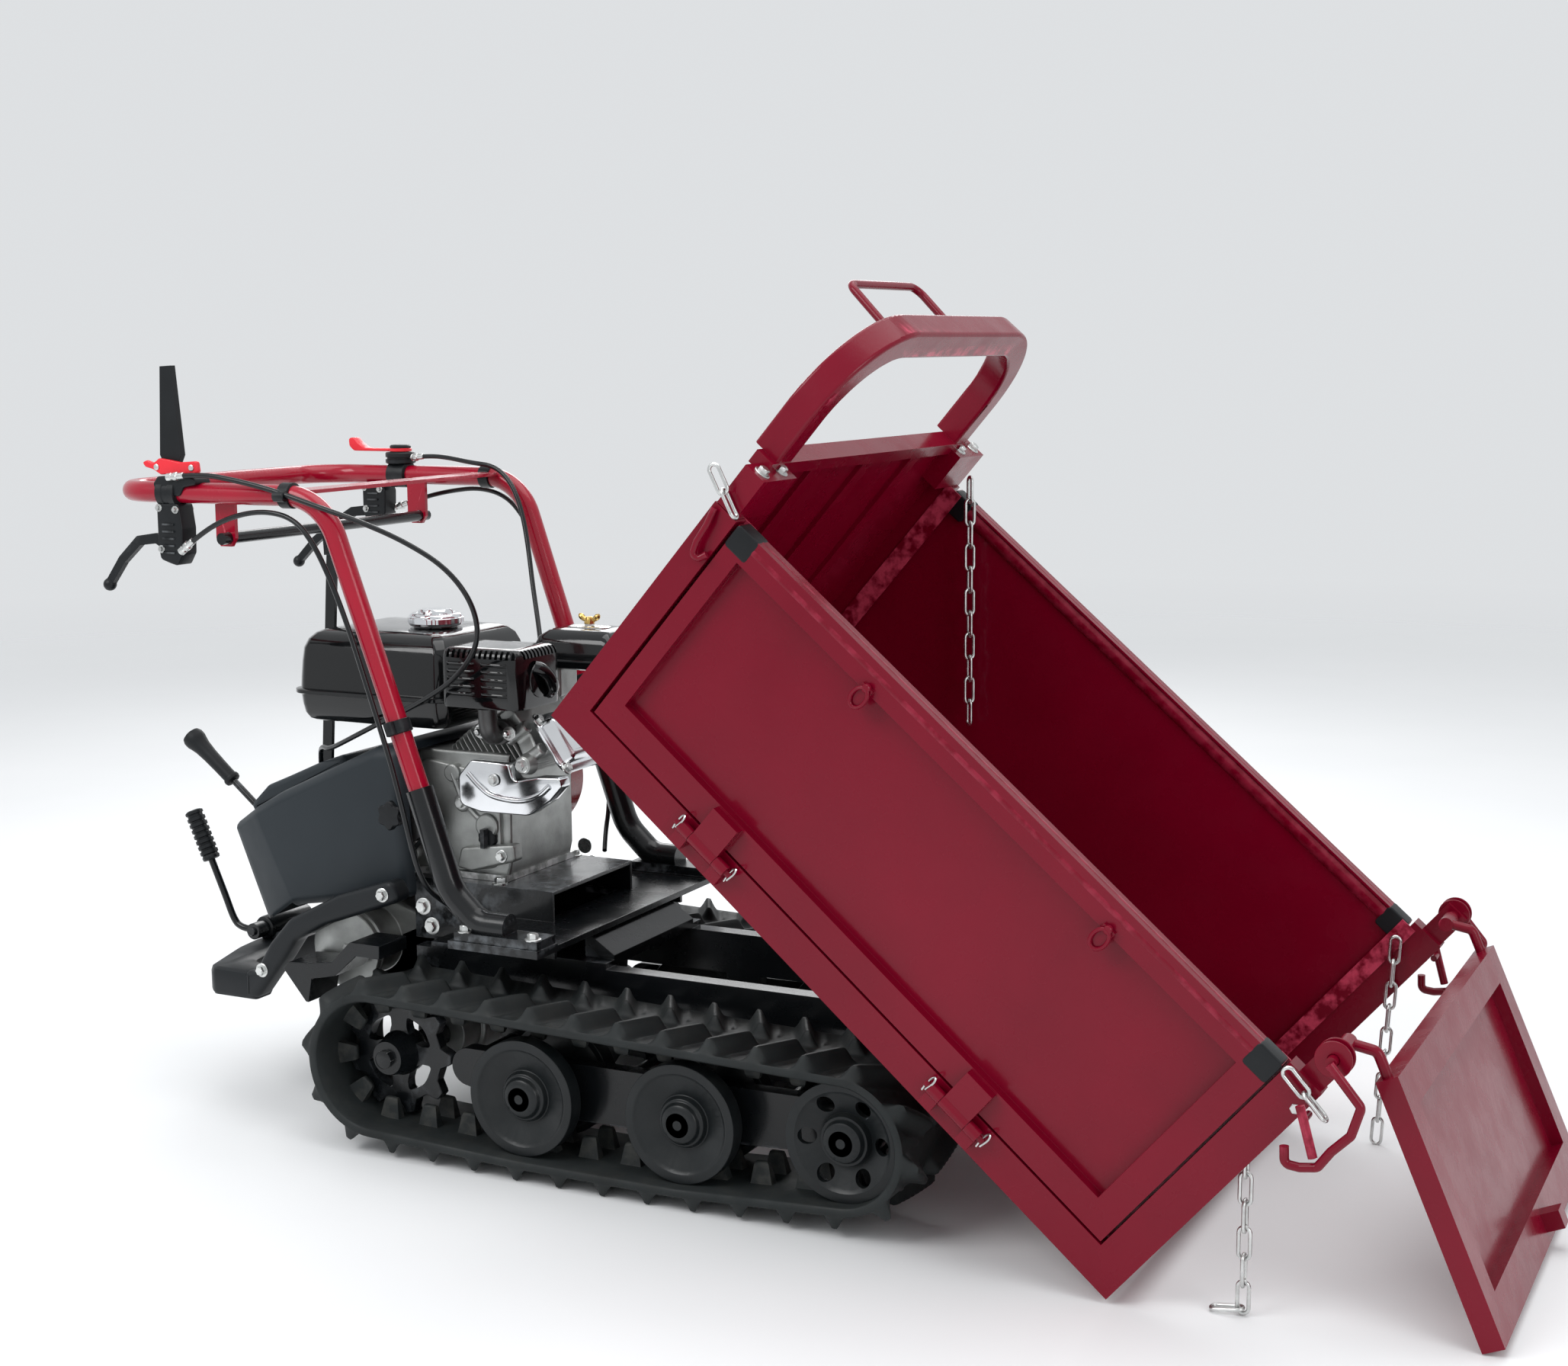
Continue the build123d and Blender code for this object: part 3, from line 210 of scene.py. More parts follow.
RUST_DUST = (0.20, 0.17, 0.13)
# Colours given for sharp edges: the light pinks on skip_red and handlebar_red are painted
# highlights, the grey on the rubber is wear, and the rest only lighten the edges.
MATERIALS = {
    "skip_red": surface("skip_red", (0.165, 0.0, 0.012), 0.27, coat=0.14, coat_rough=0.1,
                        specular=0.2, mottle=(5.0, 0.10), grain=(900.0, 0.00002),
                        orange_peel=0.00012, wear_and_highlight=((0.52, 0.05, 0.10), 0.56, 0.68)),
    "handlebar_red": surface("handlebar_red", (0.33, 0.001, 0.018), 0.24, coat=0.35,
                             specular=0.3, coat_rough=0.08, mottle=(9.0, 0.10),
                             grain=(900.0, 0.00002), orange_peel=0.0001,
                             wear_and_highlight=((0.66, 0.10, 0.14), 0.56, 0.66)),
    "frame_black": surface("frame_black", (0.005, 0.006, 0.007), 0.26, coat=0.3, coat_rough=0.15,
                           specular=0.25, mottle=(12.0, 0.3), orange_peel=0.0001,
                           wear_and_highlight=((0.10, 0.11, 0.12), 0.55, 0.65)),
    "rubber": surface("rubber", (0.010, 0.013, 0.0135), 0.62, mottle=(16.0, 0.3),
                      grain=(480.0, 0.00016), patch=0.12,
                      wear_and_highlight=((0.045, 0.045, 0.04), 0.57, 0.66), dust=(RUST_DUST, 0.05),
                      specular=0.35),
    "wheel_black": surface("wheel_black", (0.007, 0.009, 0.010), 0.36, coat=0.15, coat_rough=0.3,
                           specular=0.25, mottle=(14.0, 0.3), orange_peel=0.00014,
                           wear_and_highlight=((0.09, 0.10, 0.11), 0.55, 0.66), dust=(RUST_DUST, 0.05)),
    "steel_dark": surface("steel_dark", (0.10, 0.10, 0.10), 0.42, metallic=0.8,
                          mottle=(30.0, 0.25), grain=(500.0, 0.00008)),
    "cast_alloy": surface("cast_alloy", (0.36, 0.37, 0.36), 0.42, metallic=0.85,
                          mottle=(24.0, 0.22), grain=(620.0, 0.00022), patch=0.1,
                          wear_and_highlight=((0.8, 0.8, 0.8), 0.55, 0.68)),
    "chrome": surface("chrome", (0.74, 0.75, 0.77), 0.12, metallic=1.0, mottle=(20.0, 0.06),
                      patch=0.05, grain=(200.0, 0.00001)),
    "zinc": surface("zinc", (0.62, 0.63, 0.62), 0.30, metallic=1.0, mottle=(60.0, 0.22),
                    grain=(800.0, 0.00005), patch=0.12),
    "cover_plastic": surface("cover_plastic", (0.013, 0.019, 0.024), 0.46, specular=0.32,
                             mottle=(5.0, 0.10), grain=(1500.0, 0.00014), patch=0.05),
    "bumper_plastic": surface("bumper_plastic", (0.008, 0.010, 0.012), 0.42, specular=0.28,
                              mottle=(6.0, 0.12), grain=(1400.0, 0.00010)),
    "engine_black": surface("engine_black", (0.003, 0.0035, 0.004), 0.12, coat=0.4, specular=0.3,
                            coat_rough=0.05, mottle=(10.0, 0.2), grain=(600.0, 0.00001),
                            orange_peel=0.00008),
    "recoil_red": surface("recoil_red", (0.33, 0.006, 0.016), 0.30, coat=0.4, orange_peel=0.0001),
    "throttle_red": surface("throttle_red", (0.72, 0.008, 0.022), 0.34, coat=0.25,
                            mottle=(20.0, 0.08), grain=(1200.0, 0.00005)),
    "black_plastic": surface("black_plastic", (0.006, 0.0075, 0.009), 0.38, specular=0.28,
                             mottle=(20.0, 0.2), grain=(1300.0, 0.00009),
                             wear_and_highlight=((0.07, 0.075, 0.08), 0.56, 0.68)),
    "grip_rubber": surface("grip_rubber", (0.006, 0.0075, 0.009), 0.52, specular=0.28,
                           mottle=(20.0, 0.2), grain=(900.0, 0.00014)),
    "cable_black": surface("cable_black", (0.005, 0.006, 0.007), 0.30, coat=0.2, specular=0.3,
                           mottle=(40.0, 0.2), grain=(1200.0, 0.00004)),
}
for name, node in NODES.items():
    node.data.materials.clear()
    node.data.materials.append(MATERIALS[SLOT_OF[name]])


# ---------------------------------------------------------------- pieces
def piece(name, mesh, slot, body, *replaced, material=None):
    """A shown object made of a mesh, riding on a body and standing for the CAD nodes named."""
    made = bpy.data.objects.new(name, mesh)
    bpy.context.scene.collection.objects.link(made)
    mesh.materials.clear()
    mesh.materials.append(material or MATERIALS[slot])
    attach(made, body)
    if replaced:
        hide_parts(*replaced)
    return made


FLAT_ANGLE = math.radians(1.5)  # faces that meet at less than this are one flat face
SHARP_ANGLE = math.radians(30)  # edges sharper than this are rounded


def rounded(made, width):
    """Rounds a piece's sharp edges by width in mm, and shades the rest smooth."""
    bevel = made.modifiers.new("rounding", "BEVEL")
    bevel.width = width / 1000
    bevel.segments = 3
    bevel.limit_method = "ANGLE"
    bevel.angle_limit = SHARP_ANGLE
    bevel.harden_normals = False
    bevel.use_clamp_overlap = True
    for face in made.data.polygons:
        face.use_smooth = True
    made.modifiers.new("shading", "WEIGHTED_NORMAL").keep_sharp = True


def softened(node, width):
    """A copy of a CAD node's mesh with flat faces joined up and its edges rounded."""
    mesh = NODES[node].data.copy()
    shape = bmesh.new()
    shape.from_mesh(mesh)
    bmesh.ops.remove_doubles(shape, verts=shape.verts, dist=0.00002)
    bmesh.ops.dissolve_limit(shape, angle_limit=FLAT_ANGLE, verts=shape.verts, edges=shape.edges)
    shape.to_mesh(mesh)
    shape.free()
    if mesh.has_custom_normals:
        mesh.attributes.remove(mesh.attributes["custom_normal"])
    rounded(piece(node + ".soft", mesh, SLOT_OF[node], BODY_OF[node], node), width)


def cable(node, points, width):
    """A held control cable as one smooth line through its route, replacing its CAD solid."""
    line = bpy.data.curves.new(node, "CURVE")
    line.dimensions = "3D"
    line.bevel_depth = width / 2000
    line.bevel_resolution = 5
    line.resolution_u = 10
    line.use_fill_caps = True
    spline = line.splines.new("NURBS")
    spline.points.add(len(points) - 1)
    for control, point in zip(spline.points, points):
        control.co = (*W(*point), 1)
    spline.order_u = 3
    spline.use_endpoint_u = True
    return piece(node + ".line", line, SLOT_OF[node], BODY_OF[node], node)


# ---------------------------------------------------------------- shaping
def mesh_of(shape):
    """A finished mesh from a shape under construction, with its faces turned outwards."""
    bmesh.ops.recalc_face_normals(shape, faces=shape.faces)
    mesh = bpy.data.meshes.new("part")
    shape.to_mesh(mesh)
    shape.free()
    for face in mesh.polygons:
        face.use_smooth = True
    return mesh


def rounded_outline(points, radius, steps=5):
    """A closed outline whose corners are arcs; radius is one number or one for each corner."""
    result = []
    count = len(points)
    radii = radius if isinstance(radius, (list, tuple)) else [radius] * count
    for index in range(count):
        before, corner, after = (Vector(points[(index + k) % count]) for k in (-1, 0, 1))
        one, two = before - corner, after - corner
        half = one.angle(two) / 2
        reach = min(radii[index] / math.tan(half), one.length * 0.48, two.length * 0.48)
        start, end = corner + one.normalized() * reach, corner + two.normalized() * reach
        for step in range(steps + 1):
            share = step / steps
            result.append(start * (1 - share) ** 2 + corner * (2 * share * (1 - share))
                          + end * share ** 2)
    return result


STEEP_INSET = 8.0


def inset(outline, depth):
    """The outline moved inwards: square to its neighbours at first, then towards its middle."""
    count = len(outline)
    if depth > STEEP_INSET:
        outline = inset(outline, STEEP_INSET)
        corners = [[p[k] for p in outline] for k in range(2)]
        middle = Vector([(min(c) + max(c)) / 2 for c in corners])
        share = [1 - 2 * (depth - STEEP_INSET) / (max(c) - min(c)) for c in corners]
        return [Vector((middle.x + (p.x - middle.x) * share[0],
                        middle.y + (p.y - middle.y) * share[1])) for p in outline]
    area = sum(outline[i - 1].cross(outline[i]) for i in range(count))
    sign = 1 if area > 0 else -1
    moved = []
    for index in range(count):
        along = outline[(index + 1) % count] - outline[index - 1]
        if along.length < 1e-9:
            moved.append(outline[index].copy())
            continue
        normal = Vector((-along.y, along.x)).normalized() * sign
        moved.append(outline[index] + normal * depth)
    return moved


def skinned(shape, rings, closed=False):
    """Faces between rings of points, with both ends capped or the last joined to the first."""
    pairs = list(zip(rings, rings[1:]))
    if closed:
        pairs.append((rings[-1], rings[0]))
    count = len(rings[0])
    for low, high in pairs:
        for index in range(count):
            after = (index + 1) % count
            shape.faces.new((low[index], low[after], high[after], high[index]))
    if not closed:
        shape.faces.new(rings[0][::-1])
        shape.faces.new(rings[-1])


def lofted(shape, outline, profile, place):
    """Rings of an outline at (inset, level) pairs, joined up and closed at both ends."""
    skinned(shape, [[shape.verts.new(place(p.x, p.y, level)) for p in inset(outline, depth)]
                    for depth, level in profile])


def soft_ends(low, high, radius, steps=4):
    """A loft's profile from one level to another with both rims rounded by radius."""
    profile = []
    for step in range(steps + 1):
        angle = math.pi / 2 * step / steps
        profile.append((radius * (1 - math.sin(angle)), low + radius * (1 - math.cos(angle))))
    return profile + [(depth, low + high - level) for depth, level in reversed(profile)]


def side_loft(shape, points, radius, y0, y1, rim):
    """A block with an outline seen from the side, in machine mm, and rounded rims."""
    lofted(shape, rounded_outline(points, radius), soft_ends(y0, y1, rim),
           lambda a, b, level: W(a, level, b))


def plan_loft(shape, points, radius, profile):
    """A block with an outline seen from above, in machine mm."""
    lofted(shape, rounded_outline(points, radius), profile, lambda a, b, level: W(a, b, level))


def axes_for(axis):
    axis = Vector(axis).normalized()
    side = axis.cross(Vector((0, 0, 1)) if abs(axis.z) < 0.9 else Vector((1, 0, 0))).normalized()
    return axis, side, axis.cross(side)


def lathe(shape, centre, axis, profile, steps=28, lobes=0, depth=0.0):
    """Rings about an axis through a point in metres, from (along, radius) pairs in mm."""
    axis, side, other = axes_for(axis)
    rings = []
    for along, radius in profile:
        ring = []
        for index in range(steps):
            angle = math.tau * index / steps
            reach = radius - (depth * (0.5 + 0.5 * math.cos(lobes * angle)) if lobes else 0.0)
            ring.append(shape.verts.new(centre + (axis * along + side * (reach * math.cos(angle))
                                                  + other * (reach * math.sin(angle))) / 1000))
        rings.append(ring)
    skinned(shape, rings)


def bolt(shape, centre, axis, across=13.0, height=6.0, washer=True, dome=False):
    """A hexagon head on a washer, with a dome or a chamfered end."""
    start = 0.0
    if washer:
        lathe(shape, centre, axis, [(-0.6, across * 0.82), (1.0, across * 0.82),
                                    (1.5, across * 0.76), (1.5, across * 0.4)], 24)
        start = 1.4
    lathe(shape, centre, axis, [(start, across * 0.55), (start + height - 1.4, across * 0.56),
                                (start + height - 0.5, across * 0.52)], 6)
    crown = [(start + height - 1.0, across * 0.46), (start + height, across * 0.40)]
    if dome:
        crown += [(start + height + across * 0.28, across * 0.30),
                  (start + height + across * 0.40, across * 0.12)]
    lathe(shape, centre, axis, crown, 18)


def through(points, count):
    """Points evenly spread on a smooth line that passes through those given."""
    ends = [points[0] * 2 - points[1], *points, points[-1] * 2 - points[-2]]
    result = []
    for index in range(count):
        value = index * (len(points) - 1) / (count - 1)
        at = min(int(value), len(points) - 2)
        t = value - at
        a, b, c, d = ends[at:at + 4]
        result.append(0.5 * (b * 2 + (c - a) * t + (a * 2 - b * 5 + c * 4 - d) * t * t
                             + (b * 3 - a - c * 3 + d) * t ** 3))
    return result


def pipe(shape, points, radius, steps=12, closed=False):
    """A round bar along a line of points in metres; radius in mm is one number or a list."""
    rings = []
    side = None
    count = len(points)
    for index, point in enumerate(points):
        before = points[index - 1] if index or closed else point
        after = points[(index + 1) % count] if index + 1 < count or closed else point
        ahead = (after - before).normalized()
        if side is None:
            side = axes_for(ahead)[1]
        side = (side - ahead * side.dot(ahead)).normalized()
        other = ahead.cross(side)
        reach = (radius[index] if isinstance(radius, list) else radius) / 1000
        rings.append([shape.verts.new(point + (side * math.cos(a) + other * math.sin(a)) * reach)
                      for a in (math.tau * k / steps for k in range(steps))])
    skinned(shape, rings, closed)


BRICK_FACES = ((0, 2, 3, 1), (4, 5, 7, 6), (0, 1, 5, 4), (2, 6, 7, 3), (0, 4, 6, 2), (1, 3, 7, 5))


def brick(shape, low, high, place=W):
    """A plain block between two corners in the machine's or the skip's frame."""
    ends = (low, high)
    corners = [shape.verts.new(place(*(ends[(index >> k) & 1][k] for k in range(3))))
               for index in range(8)]
    for face in BRICK_FACES:
        shape.faces.new([corners[k] for k in face])


def carved(made, cutter_shape):
    """Takes a cutter's volume out of a piece for good."""
    cutter = bpy.data.objects.new("cutter", mesh_of(cutter_shape))
    bpy.context.scene.collection.objects.link(cutter)
    cut = made.modifiers.new("openings", "BOOLEAN")
    cut.object = cutter
    cut.solver = "EXACT"
    bpy.context.view_layer.update()
    ready = made.evaluated_get(bpy.context.evaluated_depsgraph_get())
    mesh = bpy.data.meshes.new_from_object(ready)
    made.modifiers.clear()
    made.data = mesh
    bpy.data.objects.remove(cutter)
    return made


def creased(made, angle=35):
    """Keeps edges sharper than the angle crisp."""
    split = made.modifiers.new("creases", "EDGE_SPLIT")
    split.split_angle = math.radians(angle)
    return made


def finished(shape, name, slot, body, *replaced, angle=35, material=None):
    """A shape under construction made into a piece with its sharp edges crisp."""
    return creased(piece(name, mesh_of(shape), slot, body, *replaced, material=material), angle)


# ---------------------------------------------------------------- tracks
WHEELS = ((-195.0, 122.0, 84.0), (25.0, 105.0, 75.0), (252.0, 105.0, 75.0), (470.0, 115.0, 73.0))
BELT_GAP, BELT_T, LUG_H, LINKS = 0.4, 11.0, 18.6, 30
STEPS = 20                      # stations to a link, along the belt
PITCH_MM = 63.2                 # from lug to lug on the belt's outside
LINK_X = 134.88                 # a lug's middle on the ground
TRACK_Y, TRACK_HALF = 228.0, 75.0
TREAD_TOP = LUG_H - 0.25        # the tread stays just inside the belt's full height


def loop_stations(grow, count, shift=0.0):
    """Evenly spaced (x, z, outward x, outward z) round the belt's loop, grown by grow."""
    cloud = []
    for x, z, radius in WHEELS:
        for index in range(720):
            angle = math.tau * index / 720
            reach = radius + BELT_GAP + grow
            cloud.append((x + reach * math.cos(angle), z + reach * math.sin(angle)))
    cloud = sorted(set(cloud))
    hull = []
    for points in (cloud, cloud[::-1]):
        half = []
        for point in points:
            while len(half) > 1 and ((half[-1][0] - half[-2][0]) * (point[1] - half[-2][1])
                                     <= (half[-1][1] - half[-2][1]) * (point[0] - half[-2][0])):
                half.pop()
            half.append(point)
        hull += half[:-1]
    lengths = [math.dist(a, b) for a, b in zip(hull, hull[1:] + hull[:1])]
    total = sum(lengths)
    lowest = min(point[1] for point in hull)
    start = 0.0
    for index, point in enumerate(hull):
        if point[1] < lowest + 0.01 and hull[index + 1][0] > LINK_X > point[0]:
            start = sum(lengths[:index]) + LINK_X - point[0]
            break
    stations = []
    for index in range(count):
        target = (start + total * (index + shift) / count) % total
        edge, run = 0, 0.0
        while run + lengths[edge] < target:
            run += lengths[edge]
            edge += 1
        (x0, z0), (x1, z1) = hull[edge], hull[(edge + 1) % len(hull)]
        share = (target - run) / lengths[edge]
        out = Vector((z1 - z0, x0 - x1)).normalized()
        stations.append((x0 + (x1 - x0) * share, z0 + (z1 - z0) * share, out.x, out.y))
    return stations


def smooth(value):
    value = min(1.0, max(0.0, value))
    return value * value * (3 - 2 * value)


def lug_height(along, across, jitter):
    """Height in mm of the tread above the belt, along mm from a link's middle."""
    reach = abs(across)
    crest = 16 - 31 * (reach - 14) / 56
    off = abs(along - crest)
    flank = min(1.0, max(0.0, (17.0 - off) / 13.5))
    ends = smooth((reach - 9) / 9) * smooth((75 - reach) / 9)
    ridge = (TREAD_TOP + jitter) * flank ** 1.5 * ends
    rib = 2.2 * smooth((5.0 - abs(along - crest - 27)) / 3.0) * smooth((70 - reach) / 6)
    return min(TREAD_TOP, max(ridge, rib))


# A guide lug's rings: depth below the belt, half length along it, half width across it.
GUIDE_LUG = ((-1.5, 15.5, 7.5), (1.5, 14.2, 6.4), (23, 10, 3.4), (26.5, 8.6, 2.6),
             (27.6, 6.5, 1.2))
GUIDE_OFFSET = 20               # from the belt's middle to a row of guide lugs


def track(side):
    """One rubber track: tread outside, smooth belt and two rows of guide lugs inside."""
    shape = bmesh.new()
    chance = random.Random(11 + side)
    columns = [-75, -74, -72, -70, -67, -64, -60, -55, -49, -43, -37, -31, -26, -22, -19, -17,
               -15, -13, -11, -8, -4]
    columns += [0] + [-c for c in reversed(columns)]
    middle = TRACK_Y * side
    outer, inner = [], []
    drift = [chance.uniform(-0.4, 0.2) for _ in range(LINKS)]
    for index, (x, z, ox, oz) in enumerate(loop_stations(BELT_T, LINKS * STEPS)):
        link = (index + STEPS // 2) // STEPS % LINKS
        along = ((index + STEPS // 2) % STEPS - STEPS // 2) * PITCH_MM / STEPS
        row = []
        for across in columns:
            height = lug_height(-along, across, drift[link])
            if abs(across) == TRACK_HALF:
                height = -2.0
            row.append(shape.verts.new(W(x + ox * height, middle + across, z + oz * height)))
        outer.append(row)
    for x, z, ox, oz in loop_stations(BELT_T, LINKS * STEPS):
        inner.append([shape.verts.new(W(x - ox * depth, middle + across, z - oz * depth))
                      for across, depth in ((-75, BELT_T - 2.5), (-72.5, BELT_T), (0, BELT_T),
                                            (72.5, BELT_T), (75, BELT_T - 2.5))])
    count = len(outer)
    for index in range(count):
        after = (index + 1) % count
        for grid, turned in ((outer, False), (inner, True)):
            for left in range(len(grid[0]) - 1):
                corners = [grid[index][left], grid[after][left], grid[after][left + 1],
                           grid[index][left + 1]]
                shape.faces.new(corners if turned else corners[::-1])
        for end, turned in ((0, False), (-1, True)):
            corners = [outer[index][end], outer[after][end], inner[after][end], inner[index][end]]
            shape.faces.new(corners if turned else corners[::-1])
    bmesh.ops.recalc_face_normals(shape, faces=shape.faces)
    for x, z, ox, oz in loop_stations(0.0, LINKS, 0.5):
        for across in (-GUIDE_OFFSET, GUIDE_OFFSET):
            rings = []
            for depth, half_along, half_across in GUIDE_LUG:
                base_x, base_z = x - ox * depth, z - oz * depth
                rings.append([shape.verts.new(W(base_x - oz * a, middle + across + c,
                                                base_z + ox * a)) for a,
                              c in ((-half_along, -half_across), (half_along, -half_across),
                                    (half_along, half_across), (-half_along, half_across))])
            skinned(shape, rings)
    mesh = bpy.data.meshes.new("track")
    shape.to_mesh(mesh)
    shape.free()
    for face in mesh.polygons:
        face.use_smooth = True
    name = "track_" + SIDE_NAMES[side]
    creased(piece(name + ".tread", mesh, "rubber", "chassis", name), 50)


for side in SIDES:
    track(side)


# ---------------------------------------------------------------- cover and bumper
def rear_cover():
    """The moulded cover as an open shell, its rear quarters turned in at a soft crease."""
    shape = bmesh.new()
    outline = [(-554, 375), (-507, 402), (-452, 433), (-286, 509), (-243, 512), (-229, 306),
               (-425, 275), (-498, 231)]
    lofted(shape, rounded_outline(outline, [12, 40, 80, 26, 24, 12, 30, 16], 6),
           soft_ends(-150, 150, 20, 5), lambda a, b, level: W(a, level, b))
    crease, lean = W(-493, 0, 413), Vector((-426 + 493, 0, 269 - 413)).normalized()
    across = Vector((lean.z, 0, -lean.x))
    bmesh.ops.bisect_plane(shape, geom=shape.verts[:] + shape.edges[:] + shape.faces[:],
                           plane_co=crease, plane_no=across)
    for vertex in shape.verts:
        behind = (vertex.co - crease).dot(across)
        if behind > 1e-5:
            vertex.co.y -= math.copysign(min(0.34 * behind, 0.03), vertex.co.y)
    gone = [f for f in shape.faces
            if (f.normal.x > 0.8 or f.normal.z < -0.45) and abs(f.calc_center_median().y) < 0.135]
    bmesh.ops.delete(shape, geom=gone, context="FACES")
    mesh = mesh_of(shape)
    made = piece("rear_cover.shell", mesh, "cover_plastic", "chassis", "rear_cover")
    wall = made.modifiers.new("wall", "SOLIDIFY")
    wall.thickness = 0.0035
    wall.offset = -1
    cuts = bmesh.new()
    brick(cuts, (-584, -47, 325), (-505, -33, 470))
    brick(cuts, (-500, -15, 390), (-452, 9, 490))
    carved(made, cuts)
    creased(made, 32)
    console = bmesh.new()
    arch = [(-566, 379), (-572, 391), (-541, 421), (-505, 436), (-452, 459), (-404, 476),
            (-396, 458), (-452, 428), (-540, 378)]
    side_loft(console, arch, [6, 14, 14, 24, 24, 8, 6, 20, 8], -62, 62, 11)
    top = piece("rear_cover.console", mesh_of(console), "cover_plastic", "chassis")
    slots = bmesh.new()
    brick(slots, (-590, -47, 340), (-512, -33, 500))
    brick(slots, (-502, -48, 395), (-440, 14, 500))
    carved(top, slots)
    creased(top, 32)


def bumper():
    """Moulded side arms and rear foot, and the tube that carries the second lever."""
    shape = bmesh.new()
    arm = [(-225, 343), (-314, 314), (-397, 272), (-432, 234), (-459, 191), (-476, 191),
           (-476, 152), (-456, 153), (-408, 213), (-386, 243), (-336, 270), (-211, 315)]
    for side in SIDES:
        y0, y1 = sorted((side * 169, side * 203))
        side_loft(shape, arm, [12, 30, 30, 30, 20, 8, 8, 20, 24, 24, 40, 12], y0, y1, 8)
    foot = [(-456, -202), (-532, -202), (-548, -186), (-574, -100), (-579.5, -58), (-579.5, 58),
            (-574, 100), (-548, 186), (-532, 202), (-456, 202), (-456, 166), (-505, 140),
            (-520, 60), (-520, -60), (-505, -140), (-456, -166)]
    plan_loft(shape, foot, [10, 16, 16, 30, 20, 20, 30, 16, 16, 10, 10, 20, 30, 30, 20, 10],
              [(7, 150), (2.5, 151.5), (0, 156), (0, 181), (2, 187), (7, 190)])
    finished(shape, "bumper.moulding", "bumper_plastic", "chassis", "bumper", angle=40)
    tube = bmesh.new()
    lathe(tube, W(-566, -48, 206), (0, 1, 0), [(0, 13.5), (1.5, 16), (4, 17), (92, 17),
                                               (94.5, 16), (96, 13.5)], 32)
    lathe(tube, W(-566, -76, 206), (0, 1, 0), [(0, 5), (1, 6), (36, 6)], 20)
    brick(tube, (-575, -40, 188), (-545, 40, 200))
    finished(tube, "bumper.tube", "frame_black", "chassis")


# ---------------------------------------------------------------- engine
def fuel_tank():
    """Two deep pressings with a rolled seam, the corners drawn in towards the top."""
    shape = bmesh.new()
    outline = [(-448, -92), (-434, -106), (-214, -106), (-198, -92), (-198, 98), (-214, 112),
               (-434, 112), (-448, 98)]
    plan_loft(shape, outline, 16, [
        (26, 527), (17, 528.5), (10, 532), (5, 540), (2, 553), (0.5, 566), (-5, 567.2),
        (-6.8, 568.2), (-6.8, 572.6), (-5, 573.6), (0.5, 574.6), (1.5, 590), (3.5, 612),
        (6.5, 630), (12, 642), (20, 650), (30, 654), (44, 655.4), (80, 656)])
    lathe(shape, W(-282, 0, 650), (0, 0, 1), [(0, 33), (4, 32), (6, 30.5), (8, 30.5)], 36)
    finished(shape, "fuel_tank.pressing", "engine_black", "chassis", "fuel_tank", angle=50)
    cap = bmesh.new()
    lathe(cap, W(-282, 0, 658.4), (0, 0, 1), [(0, 35.5), (1.2, 36.5), (13, 36.5), (15, 35.5),
                                              (16.5, 33.0), (16.6, 27), (15.8, 25), (15.8, 4)],
          72)
    lathe(cap, W(-282, 0, 661.4), (0, 0, 1), [(0, 38), (0.8, 39), (7.6, 39), (8.4, 38)], 112, 14,
          1.4)
    lathe(cap, W(-282, 0, 673), (0, 0, 1), [(0, 25), (4.5, 24.4), (7.6, 21.5), (8.0, 8)], 48)
    finished(cap, "fuel_cap.chrome", "chrome", "fuel_cap", "fuel_cap", angle=40)


def muffler_guard():
    """Pressed guard with louvres in its side and slots round its top edge."""
    shape = bmesh.new()
    outline = [(-190, -128), (-66, -128), (-66, -24), (-190, -24)]
    plan_loft(shape, outline, [16, 20, 12, 12], [
        (5, 567), (1, 568), (0, 571), (0, 634), (1.5, 640), (5, 644.5), (10, 646.7), (20, 647)])
    made = piece("muffler_guard.pressing", mesh_of(shape), "engine_black", "chassis",
                 "muffler_guard")
    cuts = bmesh.new()
    for row in range(5):
        z = 584 + 10 * row
        for x0, x1 in ((-177, -134), (-124, -84)):
            brick(cuts, (x0, -131, z), (x1, -125.5, z + 3.2))
    for index in range(13):
        x = -178 + 8.4 * index
        brick(cuts, (x, -131, 634.5), (x + 4.4, -121, 648))
    for index in range(10):
        y = -112 + 8.4 * index
        brick(cuts, (-73, y, 634.5), (-62, y + 4.4, 648))
    brick(cuts, (-144, -116, 560), (-112, -100, 572))
    carved(made, cuts)
    creased(made, 30)
    lips = bmesh.new()
    for row in range(5):
        z = 584 + 10 * row
        for x0, x1 in ((-176, -135), (-123, -85)):
            pipe(lips, [W(x0, -127.2, z + 4.2), W(x0 + 3, -129.6, z + 3.8),
                        W(x1 - 3, -129.6, z + 3.8), W(x1, -127.2, z + 4.2)], 1.5, 8)
    pipe(lips, through([W(-66, -88, 622), W(-58, -82, 618), W(-54, -70, 606), W(-56, -60, 592),
                        W(-66, -54, 584)], 16), 9, 12)
    lathe(lips, W(-66.5, -76, 604), (1, 0, 0), [(0, 24), (2, 23), (3, 20)], 28)
    finished(lips, "muffler_guard.louvres", "engine_black", "chassis")
    inside = bmesh.new()
    plan_loft(inside, [(-182, -119), (-74, -119), (-74, -34), (-182, -34)], 16,
              soft_ends(575, 639, 12))
    finished(inside, "muffler.body", "steel_dark", "chassis", "muffler")


AXIS = Vector((0.82, 0, 0.572)).normalized()    # the cylinder leans towards the skip
UPRIGHT = Vector((-AXIS.z, 0, AXIS.x))


def leaned(centre, along, upright, y):
    """A point at mm along the cylinder's axis and square to it, from a centre."""
    return W(centre[0], y, centre[1]) + (AXIS * along + UPRIGHT * upright) / 1000


